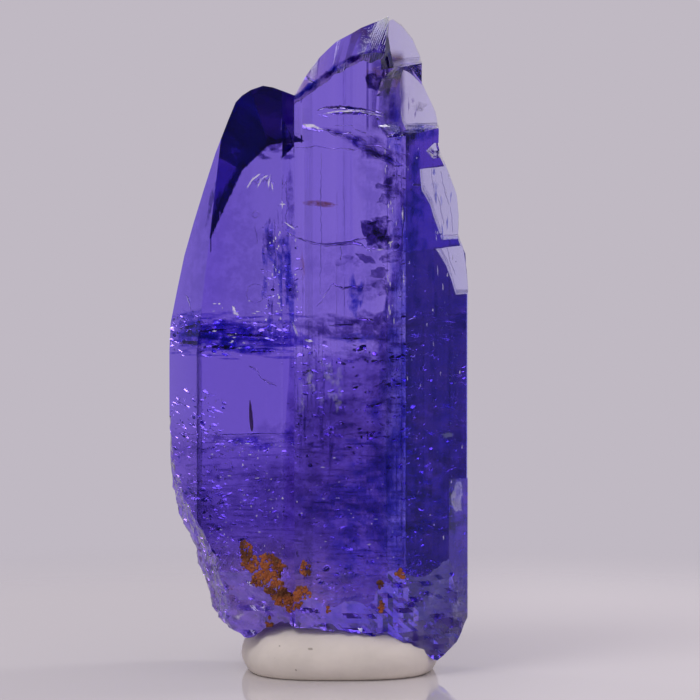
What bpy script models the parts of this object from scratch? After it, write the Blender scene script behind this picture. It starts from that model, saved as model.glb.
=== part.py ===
"""Rough tanzanite: a tall violet-blue crystal, two individuals grown side by side,
standing on its broken base in a small lump of white putty.

Lengths below are in millimetres and are scaled to metres as each mesh is made.
X runs across the broad face, Y into the crystal (the broad face looks along -Y),
and Z runs up the crystal. The origin is on the flat underside of the putty.
"""

import math
import random

import bmesh
import bpy
from mathutils import Vector

MM = 0.001

# Dimensions
LEFT_X = -7.03  # left side face of the smaller individual
RIGHT_X = 6.98  # right side face of the larger individual
SEAM_X = -1.15  # where the two individuals meet on the broad face
RIDGE_Y = -2.9  # how far back the top ridge of the larger individual lies
LEFT_TOP_Z = 27.35  # top of the smaller individual
APEX = (3.24, -2.9, 30.90)  # top of the larger individual
MAIN_FRONT_Y = -4.30  # broad front face of the larger individual
MAIN_BACK_Y = 4.45  # its back face
LEFT_FRONT_Y = -3.55  # front face of the smaller individual, at the seam
LEFT_BACK_Y = 4.45  # its back face
LEFT_TURN = 7.0  # degrees its broad front is turned to the left

# Height of the broken underside along the front edge: (x, z).
BASE_LINE = (
    (-8.0, 4.2),
    (-5.10, 2.90),
    (-4.82, 2.40),
    (-3.97, 2.00),
    (-3.17, 1.80),
    (-2.33, 2.28),
    (-1.67, 2.50),
    (-0.31, 2.50),
    (1.48, 2.23),
    (3.46, 1.85),
    (4.77, 1.25),
    (5.57, 0.55),
    (6.42, 1.30),
    (6.84, 2.05),
    (8.0, 4.2),
)
BASE_RISE = 0.05  # how much the underside rises per mm towards the back
BASE_ROUGH = 0.12  # roughness of the broken underside
BASE_STEPS = (26, 12)  # facets of the broken underside across and through

PAD_CENTRE = (0.95, 0.0)
PAD_HALF = (4.60, 4.55)  # half width and half depth of the putty at its fullest
PAD_TOP = 2.75  # height it would reach with nothing pressed into it
PAD_GAP = 0.10  # clearance between the putty and the crystal
PAD_SEGMENTS = 48


# Helpers
def to_object(name, bm, colour=None, roughness=0.5, transmission=0.0, ior=1.5):
    """A mesh object from bm, in metres. Without a colour it is a hidden cutter."""
    bmesh.ops.scale(bm, vec=(MM, MM, MM), verts=bm.verts)
    bmesh.ops.recalc_face_normals(bm, faces=bm.faces)
    mesh = bpy.data.meshes.new(name)
    bm.to_mesh(mesh)
    bm.free()
    obj = bpy.data.objects.new(name, mesh)
    bpy.context.scene.collection.objects.link(obj)
    if colour is None:
        obj.hide_render = True
        obj.display_type = "WIRE"
        return obj
    mat = bpy.data.materials.new(name)
    mat.use_nodes = True
    shader = mat.node_tree.nodes["Principled BSDF"]
    shader.inputs["Base Color"].default_value = (*colour, 1)
    shader.inputs["Roughness"].default_value = roughness
    shader.inputs["Metallic"].default_value = 0.0
    shader.inputs["Transmission Weight"].default_value = transmission
    shader.inputs["IOR"].default_value = ior
    mesh.materials.append(mat)
    return obj


def slab(planes, reach=60.0):
    """The convex body behind every plane. A plane is (outward direction, a point on it)."""
    bm = bmesh.new()
    bmesh.ops.create_cube(bm, size=2 * reach)
    for normal, point in planes:
        cut = bmesh.ops.bisect_plane(
            bm,
            geom=bm.verts[:] + bm.edges[:] + bm.faces[:],
            dist=1e-5,
            plane_co=Vector(point),
            plane_no=Vector(normal).normalized(),
            clear_outer=True,
        )
        rim = [e for e in cut["geom_cut"] if isinstance(e, bmesh.types.BMEdge)]
        if rim:
            bmesh.ops.contextual_create(bm, geom=rim)
    bmesh.ops.remove_doubles(bm, verts=bm.verts, dist=1e-4)
    return bm


def through(a, b, lean=0.0, y=0.0):
    """A plane through two points of an outline seen from the front, (x, z) each, at
    depth y. The outline runs clockwise, so the outward side is on its left. lean tips
    the plane in y."""
    dx, dz = b[0] - a[0], b[1] - a[1]
    return ((-dz, lean * math.hypot(dx, dz), dx), (a[0], y, a[1]))


def over(a, b, c):
    """A plane through three points, with its outward side up."""
    normal = (Vector(b) - Vector(a)).cross(Vector(c) - Vector(a))
    if normal.z < 0:
        normal = -normal
    return (tuple(normal), a)


def base_line(x):
    """Height of the broken underside's front edge at x."""
    for (xa, za), (xb, zb) in zip(BASE_LINE, BASE_LINE[1:]):
        if x <= xb:
            return za + (zb - za) * max(0.0, x - xa) / (xb - xa)
    return BASE_LINE[-1][1]


def base_height(x, y):
    """The smooth shape of the broken underside."""
    return base_line(x) + BASE_RISE * (y - MAIN_FRONT_Y)


def cut(obj, tool, operation="DIFFERENCE"):
    modifier = obj.modifiers.new(tool.name, "BOOLEAN")
    modifier.operation = operation
    modifier.solver = "EXACT"
    modifier.object = tool


# Pieces
def left_individual():
    """The smaller crystal on the left, with its sloping shoulder."""
    turn = math.radians(LEFT_TURN)
    front = (-math.sin(turn), -math.cos(turn), 0.0)
    planes = [
        (front, (SEAM_X - 0.3, LEFT_FRONT_Y, 0.0)),
        ((0.10, 0.995, 0.0), (-3.0, LEFT_BACK_Y, 0.0)),
        ((-0.805, -0.593, 0.0), (-5.72, -3.04, 0.0)),  # bright strip, front left
        ((-0.55, 0.835, 0.0), (-5.6, 4.42, 0.0)),  # back left edge
        ((-1.0, 0.0, 0.0), (LEFT_X, 0.0, 0.0)),
        ((0.27, -0.963, 0.0), (-1.66, -3.50, 0.0)),  # the groove along the seam
        ((1.0, 0.0, 0.0), (2.0, 0.0, 0.0)),
        # the shoulder, from the side face up to the top
        through((-7.03, 14.6), (-6.28, 19.51), 0.05),
        through((-6.28, 19.51), (-4.82, 24.26), -0.10),
        through((-4.82, 24.26), (-3.88, 26.61), 0.08),
        through((-3.88, 26.61), (-3.17, 27.17), 0.05),
        through((-3.17, 27.17), (-2.61, LEFT_TOP_Z), 0.0),
        through((-2.61, LEFT_TOP_Z), (-1.20, 26.90), 0.05),
        # three steep faces at the back of the top, and a narrow one at the front left
        ((-0.03, 0.707, 0.707), (-0.40, 4.19, 24.95)),
        ((-0.462, 0.70, 0.545), (-2.86, 4.40, 23.93)),
        ((-0.617, 0.72, 0.319), (-3.86, 4.50, 22.27)),
        ((-0.80, -0.56, 0.085), (-5.08, -3.11, 20.9)),
        # the broken border down its front left
        ((-0.906, -0.403, -0.132), (-6.2, 0.4, 6.4)),
        # the narrowing foot
        through((-6.42, 6.86), (-6.98, 9.70), -0.05),
        through((-5.15, 3.40), (-6.42, 6.86), 0.04),
        ((0.0, 0.0, -1.0), (0.0, 0.0, -2.0)),
    ]
    return to_object("left_individual", slab(planes))


def right_individual():
    """The larger crystal on the right, with its slanting chisel top."""
    planes = [
        ((-0.03, -1.0, 0.0), (SEAM_X, MAIN_FRONT_Y + 0.08, 0.0)),
        ((0.03, 1.0, 0.0), (0.0, MAIN_BACK_Y, 0.0)),
        ((-1.0, -0.04, 0.0), (SEAM_X, MAIN_FRONT_Y, 0.0)),
        ((0.19, -0.982, 0.0), (3.62, -4.35, 0.0)),
        ((0.645, -0.763, 0.0), (4.02, -4.27, 0.0)),
        ((1.0, -0.03, 0.0), (RIGHT_X, 0.0, 0.0)),
        ((0.50, 0.866, 0.0), (1.25, 4.41, 0.0)),
        ((-0.55, 0.835, 0.0), (-0.6, 4.2, 0.0)),
        # the ridge, from the seam up to the apex
        through((-1.10, 27.38), (0.02, 29.06), 0.095, RIDGE_Y),
        through((0.02, 29.06), (1.20, 30.01), 0.095, RIDGE_Y),
        through((1.20, 30.01), (APEX[0], APEX[2]), 0.095, RIDGE_Y),
        # the slanting facets in front of it
        over((-1.20, -4.3, 26.90), (0.26, -4.3, 28.05), (-0.31, RIDGE_Y, 28.62)),
        over((0.26, -4.3, 28.05), (2.05, -4.3, 29.05), (1.20, RIDGE_Y, 30.01)),
        over((2.05, -4.3, 29.05), (3.30, -4.3, 29.10), APEX),
        # and down the right side
        through((APEX[0], APEX[2] - 0.1), (4.40, 29.64)),
        through((4.40, 29.64), (4.77, 28.84)),
        through((4.72, 29.00), (6.86, 20.20), -0.05),
        ((0.0, 0.0, -1.0), (0.0, 0.0, -2.0)),
    ]
    return to_object("right_individual", slab(planes), (0.16, 0.07, 0.62), 0.06, 1.0, 1.69)


def chips():
    """Broken steps down the top right edge. Each is an open wedge taken out of it."""
    top = ((0.0, 0.0, 1.0), (0.0, 0.0, 40.0))
    right = ((1.0, 0.0, 0.0), (12.0, 0.0, 0.0))
    near = ((0.0, -1.0, 0.0), (0.0, -12.0, 0.0))
    low = (0.0, 0.0, -1.0)
    wall = (-1.0, 0.103, 0.0)
    found = {
        # the corner beside the apex, as deep as the thin plate behind it
        "chip_apex": [
            top,
            right,
            near,
            ((-1.0, 0.0, -0.1), (APEX[0], 0.0, APEX[2])),
            ((0.06, 0.99, -0.10), (4.0, 1.95, 29.4)),
            (low, (0.0, 0.0, 28.62)),
        ],
        # everything in front of the lower step
        "chip_corner": [
            ((0.0, 0.0, 1.0), (0.0, 0.0, 29.2)),
            right,
            near,
            (wall, (3.12, -4.3, 0.0)),
            ((-0.20, 0.97, 0.10), (4.6, -0.6, 27.2)),
            ((0.06, 0.0, -1.0), (4.0, 0.0, 25.55)),
        ],
        # the pale step under it
        "chip_step": [
            ((0.76, 0.0, 0.65), (4.05, 0.0, 28.62)),
            right,
            near,
            (wall, (3.12, -4.3, 0.0)),
            ((0.04, 0.99, 0.06), (4.6, 1.45, 27.0)),
            ((0.04, 0.0, -1.0), (4.0, 0.0, 25.65)),
        ],
        # the notch over the long pale flake
        "chip_notch": [
            ((-0.45, -0.05, 1.0), (5.2, 0.0, 24.70)),
            right,
            near,
            ((-0.80, 0.60, -0.20), (5.05, -2.2, 24.3)),
            ((-0.20, 0.0, -1.0), (5.4, 0.0, 23.75)),
        ],
        # the long pale flake
        "chip_flake": [
            ((0.05, -0.05, 1.0), (5.4, 0.0, 24.05)),
            right,
            near,
            ((-0.96, 0.07, -0.27), (4.86, -3.3, 23.9)),
            ((0.05, 0.99, -0.03), (5.7, 0.98, 22.0)),
            ((0.35, 0.0, -1.0), (6.3, 0.0, 20.15)),
        ],
        # the small one below it, with its flat foot
        "chip_low": [
            ((0.1, 0.0, 1.0), (6.0, 0.0, 20.3)),
            right,
            near,
            ((-0.91, 0.06, -0.39), (5.60, -3.0, 20.1)),
            ((0.08, 0.99, -0.02), (6.3, 0.72, 19.0)),
            ((0.0, 0.0, -1.0), (0.0, 0.0, 17.85)),
        ],
        # the narrow bevel down the lower right edge
        "bevel_strip": [
            ((0.0, 0.06, 1.0), (0.0, 0.0, 9.15)),
            right,
            near,
            ((-0.90, 0.43, 0.0), (6.05, -2.55, 0.0)),
            ((0.0, 0.0, -1.0), (0.0, 0.0, -4.0)),
        ],
        # the broken faces that lean in under the front of the foot
        "foot_front": [
            ((0.12, 0.96, 0.25), (-4.0, -3.25, 5.0)),
            ((1.0, 0.0, 0.0), (-2.4, 0.0, 0.0)),
            ((-1.0, 0.0, 0.0), (-12.0, 0.0, 0.0)),
            near,
            ((0.0, 0.0, -1.0), (0.0, 0.0, -4.0)),
        ],
        # a small break at the lower left corner
        "chip_foot": [
            ((0.45, 0.0, 1.0), (-5.2, 0.0, 3.75)),
            ((-1.0, 0.0, 0.0), (-12.0, 0.0, 0.0)),
            near,
            ((0.62, 0.66, 0.25), (-4.9, -1.9, 3.2)),
            ((0.0, 0.0, -1.0), (0.0, 0.0, -4.0)),
        ],
    }
    return [to_object(name, slab(planes)) for name, planes in found.items()]


def broken_base():
    """What is missing under the crystal: its top is the uneven broken underside."""
    rnd = random.Random(7)
    nx, ny = BASE_STEPS
    bm = bmesh.new()
    rows = []
    for j in range(ny + 1):
        y = -6.0 + 12.0 * j / ny
        row = []
        for i in range(nx + 1):
            x = -8.0 + 16.0 * i / nx
            z = base_height(x, y) + BASE_ROUGH * rnd.uniform(-0.8, 1.0)
            row.append(bm.verts.new((x, y, z)))
        rows.append(row)
    for j in range(ny):
        for i in range(nx):
            a, b = rows[j][i], rows[j][i + 1]
            c, d = rows[j + 1][i + 1], rows[j + 1][i]
            if (i + j) % 2:
                bm.faces.new((a, b, c))
                bm.faces.new((a, c, d))
            else:
                bm.faces.new((a, b, d))
                bm.faces.new((b, c, d))
    rim = [e for e in bm.edges if e.is_boundary]
    skirt = bmesh.ops.extrude_edge_only(bm, edges=rim)
    low = [v for v in skirt["geom"] if isinstance(v, bmesh.types.BMVert)]
    for v in low:
        v.co.z = -4.0
    bmesh.ops.contextual_create(
        bm,
        geom=[e for e in bm.edges if e.is_boundary],
    )
    return to_object("broken_base", bm)


def putty():
    """The lump that holds the crystal up: flat below, bulging round, pressed in on top."""
    rings = (  # share of the plan outline, height
        (0.915, 0.0),
        (0.965, 0.22),
        (1.0, 0.70),
        (0.995, 1.10),
        (0.955, 1.55),
        (0.88, 1.95),
        (0.76, 2.25),
        (0.60, 2.50),
        (0.40, 2.66),
        (0.20, PAD_TOP),
    )
    bm = bmesh.new()
    loops = []
    for share, height in rings:
        loop = []
        for k in range(PAD_SEGMENTS):
            t = 2 * math.pi * k / PAD_SEGMENTS
            c, s = math.cos(t), math.sin(t)
            squarish = (abs(c) ** 2.5 + abs(s) ** 2.5) ** (-1 / 2.5)
            wobble = 1 + 0.012 * math.sin(3 * t + 0.7) + 0.008 * math.sin(5 * t)
            x = PAD_CENTRE[0] + PAD_HALF[0] * share * squarish * wobble * c
            y = PAD_CENTRE[1] + PAD_HALF[1] * share * squarish * wobble * s
            z = height
            if height > 0:
                z = min(z, base_height(x, y) - BASE_ROUGH - PAD_GAP)
            loop.append(bm.verts.new((x, y, z)))
        loops.append(loop)
    for low, high in zip(loops, loops[1:]):
        for k in range(PAD_SEGMENTS):
            n = (k + 1) % PAD_SEGMENTS
            bm.faces.new((low[k], low[n], high[n], high[k]))
    bm.faces.new(list(reversed(loops[0])))
    x, y = PAD_CENTRE
    peak = bm.verts.new((x, y, min(PAD_TOP, base_height(x, y) - BASE_ROUGH - PAD_GAP)))
    for k in range(PAD_SEGMENTS):
        bm.faces.new((loops[-1][k], loops[-1][(k + 1) % PAD_SEGMENTS], peak))
    obj = to_object("putty_pad", bm, (0.86, 0.82, 0.76), 0.75)
    obj.data.shade_smooth()
    return obj


def main():
    for obj in list(bpy.data.objects):
        bpy.data.objects.remove(obj, do_unlink=True)
    crystal = right_individual()
    crystal.name = "tanzanite_crystal"
    cut(crystal, left_individual(), "UNION")
    for tool in chips():
        cut(crystal, tool)
    cut(crystal, broken_base())
    putty()


main()
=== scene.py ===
"""Rough tanzanite in a lump of putty: the looks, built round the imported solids.

Lengths in the functions are in millimetres, in the part's own frame: X across the
broad face, Y into the crystal, Z up it. Each mesh is scaled to metres when it is made.
"""

import math
import random

import bmesh
import bpy
from bpy.props import FloatProperty, FloatVectorProperty, IntProperty, PointerProperty
from bpy.types import Operator, Panel, PropertyGroup
from mathutils import Matrix, Vector, noise


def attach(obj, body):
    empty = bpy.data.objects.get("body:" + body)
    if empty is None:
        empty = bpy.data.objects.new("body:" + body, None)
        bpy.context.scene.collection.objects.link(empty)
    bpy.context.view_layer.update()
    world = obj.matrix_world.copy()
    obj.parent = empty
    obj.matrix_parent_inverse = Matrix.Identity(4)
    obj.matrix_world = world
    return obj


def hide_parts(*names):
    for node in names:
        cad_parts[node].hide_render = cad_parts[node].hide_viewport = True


bl_info = {
    "name": "Rough Tanzanite",
    "version": (1, 0, 0),
    "blender": (4, 5, 0),
    "location": "3D View > Sidebar > Tanzanite",
    "description": "Builds a rough tanzanite crystal with its sealed cracks, crust and putty",
    "category": "Add Mesh",
}

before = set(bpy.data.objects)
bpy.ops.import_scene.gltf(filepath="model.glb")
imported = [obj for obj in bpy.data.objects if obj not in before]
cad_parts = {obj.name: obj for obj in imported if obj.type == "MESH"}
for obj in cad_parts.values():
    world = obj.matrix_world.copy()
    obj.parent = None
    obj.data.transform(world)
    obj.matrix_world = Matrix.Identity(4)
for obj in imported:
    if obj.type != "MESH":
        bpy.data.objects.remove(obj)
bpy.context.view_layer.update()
MM = 0.001

# Section of the smaller individual, as (outward direction, a point) for each long face,
# anticlockwise from above: left, bright strip, broad front, groove, inside, back, back left.
LEFT_SECTION = (
    ((-1.0, 0.0), (-7.03, 0.0)),
    ((-0.805, -0.593), (-5.72, -3.04)),
    ((-0.12, -0.993), (-1.45, -3.55)),
    ((0.27, -0.963), (-1.66, -3.50)),
    ((1.0, 0.0), (1.2, 0.0)),
    ((0.10, 0.995), (-3.0, 4.45)),
    ((-0.55, 0.835), (-5.6, 4.42)),
)
# Section of the larger one: seam wall, broad front, slanting front, right, slanting
# back, back, back left.
RIGHT_SECTION = (
    ((-1.0, -0.04), (-1.15, -4.3)),
    ((-0.03, -1.0), (-1.15, -4.22)),
    ((0.19, -0.982), (3.62, -4.35)),
    ((0.645, -0.763), (4.02, -4.27)),
    ((1.0, -0.03), (6.98, 0.0)),
    ((0.50, 0.866), (1.25, 4.41)),
    ((0.03, 1.0), (0.0, 4.45)),
    ((-0.55, 0.835), (-0.6, 4.2)),
)
# Outline of the left shoulder at its front edge, bottom to top, as (x, z).
SHOULDER = (
    (-7.03, 14.4), (-6.93, 16.72), (-6.61, 18.33), (-6.28, 19.89), (-5.85, 21.40),
    (-5.34, 23.05), (-4.82, 24.65), (-4.25, 26.12), (-3.88, 27.01), (-3.58, 27.32),
    (-3.17, 27.58), (-2.61, 27.77), (-2.10, 27.68), (-1.67, 27.53), (-1.20, 27.34),
    (0.0, 26.90),
)
# Top of the larger individual: where its slanting facets meet the front face, and the
# ridge behind, as (x, z).
FRONT_EDGE = (
    (-2.20, 26.45), (-1.20, 27.23), (-0.85, 27.52), (-0.49, 27.78), (-0.10, 28.08),
    (0.26, 28.34), (0.56, 28.53), (0.82, 28.77), (1.10, 28.92), (1.43, 29.14), (2.05, 29.35),
    (2.61, 29.42), (3.30, 29.30), (4.50, 29.30),
)
RIDGE = (
    (-1.95, 26.60), (-1.10, 27.38), (-0.62, 28.18), (-0.31, 28.62), (0.02, 29.06),
    (0.50, 29.52), (0.82, 29.81), (1.20, 30.01), (1.53, 30.19), (1.95, 30.44), (2.60, 30.70),
    (3.24, 30.98), (3.90, 31.28), (5.20, 31.60),
)
RIGHT_OUTLINE = (
    (3.24, 30.72), (3.88, 30.25), (4.40, 29.64), (4.72, 28.92), (4.77, 28.84), (4.77, 27.70),
    (5.15, 26.90), (5.48, 26.24), (5.57, 25.67), (5.57, 24.68), (5.67, 24.35), (6.09, 23.41),
    (6.46, 22.37), (6.56, 21.52), (6.51, 20.48), (6.84, 19.63), (6.93, 18.88), (7.04, 17.0),
    (7.04, -4.0), (12.0, -4.0), (12.0, 36.0), (3.24, 36.0),
)
LEFT_FOOT = (
    (-7.03, 12.12), (-6.98, 10.0), (-6.89, 8.77), (-6.70, 7.97), (-6.42, 6.98), (-6.09, 6.27),
    (-5.76, 5.80), (-5.67, 4.95), (-5.43, 4.34), (-5.20, 3.91), (-5.10, 3.39), (-5.10, 2.64),
    (-4.82, 2.12), (-3.97, 1.74), (-3.17, 1.55), (-3.17, -4.0), (-12.0, -4.0), (-12.0, 12.12),
)
# Broken underside along the front edge, (x, z).
BASE_LINE = (
    (-8.0, 4.2), (-5.10, 2.90), (-4.82, 2.40), (-3.97, 2.00), (-3.17, 1.80), (-2.33, 2.28),
    (-1.67, 2.50), (-0.31, 2.50), (1.48, 2.23), (3.46, 1.85), (4.77, 1.25), (5.57, 0.55),
    (6.42, 1.30), (6.84, 2.05), (8.0, 4.2),
)


# Settings
class TanzaniteCrystalSettings(PropertyGroup):
    ior: FloatProperty(
        name="IOR", description="Refractive index of the stone", default=1.69, min=1.0, max=3.0
    )
    absorb_colour: FloatVectorProperty(
        name="Absorption Colour",
        description="What the stone lets through",
        subtype="COLOR",
        default=(0.3125, 0.031, 0.8125),
        min=0.0,
        max=1.0,
    )
    absorb_density: FloatProperty(
        name="Absorption Density",
        description="How strongly the stone absorbs, per metre",
        default=160.0,
        min=0.0,
    )
    frost_height: FloatProperty(
        name="Frost Height",
        description="Height below which the faces are etched and cloudy",
        default=0.0110,
        unit="LENGTH",
        subtype="DISTANCE",
    )
    seed: IntProperty(name="Seed", description="Seed of the striations", default=4, min=0)


class TanzaniteCrackSettings(PropertyGroup):
    gap: FloatProperty(
        name="Gap",
        description="Thickness of the air in the large cracks",
        default=0.00003,
        unit="LENGTH",
        subtype="DISTANCE",
    )
    flakes: IntProperty(
        name="Flakes", description="Small partings scattered in the foot", default=2600, min=0
    )
    seed: IntProperty(name="Seed", description="Seed of the flakes", default=11, min=0)


class TanzaniteCrustSettings(PropertyGroup):
    colour: FloatVectorProperty(
        name="Crust Colour",
        description="Iron-stained crust in the low fractures",
        subtype="COLOR",
        default=(0.38, 0.105, 0.026),
        min=0.0,
        max=1.0,
    )


class TanzanitePuttySettings(PropertyGroup):
    colour: FloatVectorProperty(
        name="Putty Colour",
        description="Off-white putty",
        subtype="COLOR",
        default=(0.86, 0.79, 0.70),
        min=0.0,
        max=1.0,
    )
    roughness: FloatProperty(
        name="Roughness", description="Roughness of the putty", default=0.7, min=0.0, max=1.0
    )


class TanzaniteStageSettings(PropertyGroup):
    backdrop: FloatVectorProperty(
        name="Backdrop",
        description="Colour of the plain backdrop",
        subtype="COLOR",
        default=(0.527, 0.485, 0.546),
        min=0.0,
        max=1.0,
    )
    sweep: FloatVectorProperty(
        name="Sweep",
        description="Colour of the lit sweep behind the stone, as the stone sees it",
        subtype="COLOR",
        default=(0.545, 0.505, 0.83),
        min=0.0,
        max=1.0,
    )
    front: FloatProperty(
        name="Front",
        description="Brightness of the room in front, against the sweep behind",
        default=0.12,
        min=0.0,
    )
    overhead: FloatProperty(
        name="Overhead", description="Brightness of the soft box overhead", default=3.0, min=0.0
    )
    floor: FloatVectorProperty(
        name="Floor",
        description="Colour of the plain floor",
        subtype="COLOR",
        default=(0.705, 0.672, 0.672),
        min=0.0,
        max=1.0,
    )
    elevation: FloatProperty(
        name="Elevation",
        description="Camera height above the horizon",
        default=math.radians(5.0),
        subtype="ANGLE",
    )
    distance: FloatProperty(
        name="Distance",
        description="Camera to crystal",
        default=0.40,
        unit="LENGTH",
        subtype="DISTANCE",
    )
    width: FloatProperty(
        name="Picture Width",
        description="Width of the picture at the crystal",
        default=0.03291,
        unit="LENGTH",
        subtype="DISTANCE",
    )


# Helpers
def settings(name):
    return getattr(bpy.context.scene, "tanzanite_" + name)


def new_object(name, data):
    obj = bpy.data.objects.new(name, data)
    bpy.context.scene.collection.objects.link(obj)
    return obj


def finish_mesh(name, bm, material, smooth=False, angle=None):
    """An object at the origin from bm, in metres."""
    bmesh.ops.scale(bm, vec=(MM, MM, MM), verts=bm.verts)
    bmesh.ops.recalc_face_normals(bm, faces=bm.faces)
    mesh = bpy.data.meshes.new(name)
    bm.to_mesh(mesh)
    bm.free()
    if smooth:
        mesh.shade_smooth()
        if angle is not None:
            mesh.set_sharp_from_angle(angle=math.radians(angle))
    obj = new_object(name, mesh)
    if material is not None:
        mesh.materials.append(material)
    return obj


def corners(lines):
    """Where each line of a section meets the next, in order."""
    found = []
    for k, (n1, p1) in enumerate(lines):
        n2, p2 = lines[(k + 1) % len(lines)]
        c1 = n1[0] * p1[0] + n1[1] * p1[1]
        c2 = n2[0] * p2[0] + n2[1] * p2[1]
        det = n1[0] * n2[1] - n1[1] * n2[0]
        found.append(
            Vector(((c1 * n2[1] - c2 * n1[1]) / det, (n1[0] * c2 - n2[0] * c1) / det))
        )
    return found


def striated(a, b, steps):
    """Points from a to b along one long face. A step is (distance from a, width, depth
    in from the plain face after it)."""
    along = (b - a).normalized()
    inward = Vector((-along.y, along.x))
    points, depth = [a.copy()], 0.0
    length = (b - a).length
    for where, width, after in steps:
        if where + width > length - 0.05:
            break
        points.append(a + along * where + inward * depth)
        depth = after
        points.append(a + along * (where + width) + inward * depth)
    points.append(b - along * 0.02 + inward * depth)
    return points


def random_steps(rnd, length, closeness, depth):
    steps, s = [], 0.15
    while s < length - 0.2:
        s += rnd.expovariate(closeness) + 0.05
        w = rnd.uniform(0.02, 0.07)
        steps.append((s, w, rnd.uniform(0.0, depth)))
        s += w
    return steps


def prism(section, steps_for, low=-2.0, high=35.5):
    """A tall prism whose long faces carry growth striations."""
    ends = corners(section)
    bm = bmesh.new()
    ring = []
    for k in range(len(section)):
        a, b = ends[k - 1], ends[k]
        for p in striated(a, b, steps_for(k, (b - a).length)):
            ring.append(bm.verts.new((p.x, p.y, low)))
    base = bm.faces.new(ring)
    top = bmesh.ops.extrude_face_region(bm, geom=[base])
    for v in top["geom"]:
        if isinstance(v, bmesh.types.BMVert):
            v.co.z = high
    bmesh.ops.remove_doubles(bm, verts=bm.verts, dist=1e-4)
    bmesh.ops.recalc_face_normals(bm, faces=bm.faces)
    return bm


def trim(bm, normal, point):
    """Takes off everything outside a plane and closes the cut."""
    cut = bmesh.ops.bisect_plane(
        bm,
        geom=bm.verts[:] + bm.edges[:] + bm.faces[:],
        dist=1e-6,
        plane_co=Vector(point),
        plane_no=Vector(normal).normalized(),
        clear_outer=True,
    )
    rim = [e for e in cut["geom_cut"] if isinstance(e, bmesh.types.BMEdge)]
    if rim:
        bmesh.ops.contextual_create(bm, geom=rim)


def shoulder_planes(points, y, run):
    """A plane through each two points of an outline, clockwise from the front, that lies
    at depth y and carries on along the direction run."""
    for (xa, za), (xb, zb) in zip(points, points[1:]):
        normal = Vector(run).cross(Vector((xb - xa, 0.0, zb - za)))
        if normal.dot(Vector((za - zb, 0.0, xb - xa))) < 0:
            normal = -normal
        yield normal, (xa, y, za)


def closed(rings):
    """A closed mesh from rings of the same number of points, capped at both ends."""
    bm = bmesh.new()
    loops = [[bm.verts.new(p) for p in ring] for ring in rings]
    count = len(loops[0])
    for low, high in zip(loops, loops[1:]):
        for k in range(count):
            n = (k + 1) % count
            bm.faces.new((low[k], low[n], high[n], high[k]))
    bm.faces.new(loops[0])
    bm.faces.new(list(reversed(loops[-1])))
    bmesh.ops.recalc_face_normals(bm, faces=bm.faces)
    return bm


def notch(outline, floor=None, opening=None, waist=None):
    """A cutter with this outline (x, z) from the front, that stops at the floor plane
    (normal, point), or goes right through. At y = -5 it has opened out to `opening`,
    starting from y = `waist`."""
    opening = opening or outline
    back = []
    for x, z in outline:
        if floor is None:
            back.append((x, 12.0, z))
        else:
            (nx, ny, nz), (px, py, pz) = floor
            back.append((x, py - (nx * (x - px) + nz * (z - pz)) / ny, z))
    front = [(x, -5.0, z) for x, z in opening]
    middle = [] if waist is None else [[(x, waist, z) for x, z in outline]]
    return closed((back, *middle, front, [(x, -12.0, z) for x, _, z in front]))


def sheet_to(rows, axis, level):
    """A closed mesh from rows of points, whose rim is carried to a level along an axis and
    capped there."""
    bm = bmesh.new()
    lines = [[bm.verts.new(p) for p in row] for row in rows]
    for near, far in zip(lines, lines[1:]):
        for k in range(len(near) - 1):
            bm.faces.new((near[k], near[k + 1], far[k + 1]))
            bm.faces.new((near[k], far[k + 1], far[k]))
    skirt = bmesh.ops.extrude_edge_only(bm, edges=[e for e in bm.edges if e.is_boundary])
    for v in skirt["geom"]:
        if isinstance(v, bmesh.types.BMVert):
            v.co[axis] = level
    bmesh.ops.contextual_create(bm, geom=[e for e in bm.edges if e.is_boundary])
    return bm


def roof(rows, top=48.0):
    """A cutter for everything over a surface given as rows of points, front to back."""
    bm = sheet_to(rows, 2, top)
    bmesh.ops.recalc_face_normals(bm, faces=bm.faces)
    return bm


def slanting_top(rnd):
    """Rows of points over the larger individual, front to back: a ragged ledge, the
    slanting facets, the ridge, and a level run to the back."""
    low_jitter = [rnd.uniform(-0.006, 0.006) for _ in FRONT_EDGE]
    high_jitter = [rnd.uniform(-0.005, 0.005) for _ in RIDGE]
    rows = [[] for _ in range(5)]
    for k in range(len(FRONT_EDGE) - 1):
        pieces = 6
        for i in range(pieces if k < len(FRONT_EDGE) - 2 else pieces + 1):
            t = i / pieces
            (xa, za), (xb, zb) = FRONT_EDGE[k], FRONT_EDGE[k + 1]
            x, z = xa + (xb - xa) * t, za + (zb - za) * t
            z += low_jitter[k] * (1 - t) + low_jitter[k + 1] * t
            ragged = 0.11 * noise.noise(Vector((x * 2.3, 0.0, 4.0)))
            ragged += 0.03 * noise.noise(Vector((x * 6.0, 0.0, 9.0)))
            (xc, zc), (xd, zd) = RIDGE[k], RIDGE[k + 1]
            u, w = xc + (xd - xc) * t, zc + (zd - zc) * t
            w += high_jitter[k] * (1 - t) + high_jitter[k + 1] * t
            rows[0].append((x, -8.0, z - 1.9))
            rows[1].append((x, -4.3, z - 0.42 + 1.3 * ragged))
            rows[2].append((x + 0.04, -3.80, z - 0.08))
            rows[3].append((u, -2.9, w))
            rows[4].append((u, 8.0, w - 1.04))
    return rows


def in_order(bm):
    """The same mesh, with its points and faces in an order that depends only on where they
    are."""
    points = sorted(bm.verts, key=lambda v: tuple(round(c, 6) for c in v.co))
    place = {v: k for k, v in enumerate(points)}
    rings = []
    for f in bm.faces:
        ring = [place[v] for v in f.verts]
        first = ring.index(min(ring))
        rings.append(ring[first:] + ring[:first])
    fresh = bmesh.new()
    corner = [fresh.verts.new(v.co) for v in points]
    for ring in sorted(rings):
        fresh.faces.new([corner[k] for k in ring])
    fresh.normal_update()
    bm.free()
    return fresh


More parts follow.
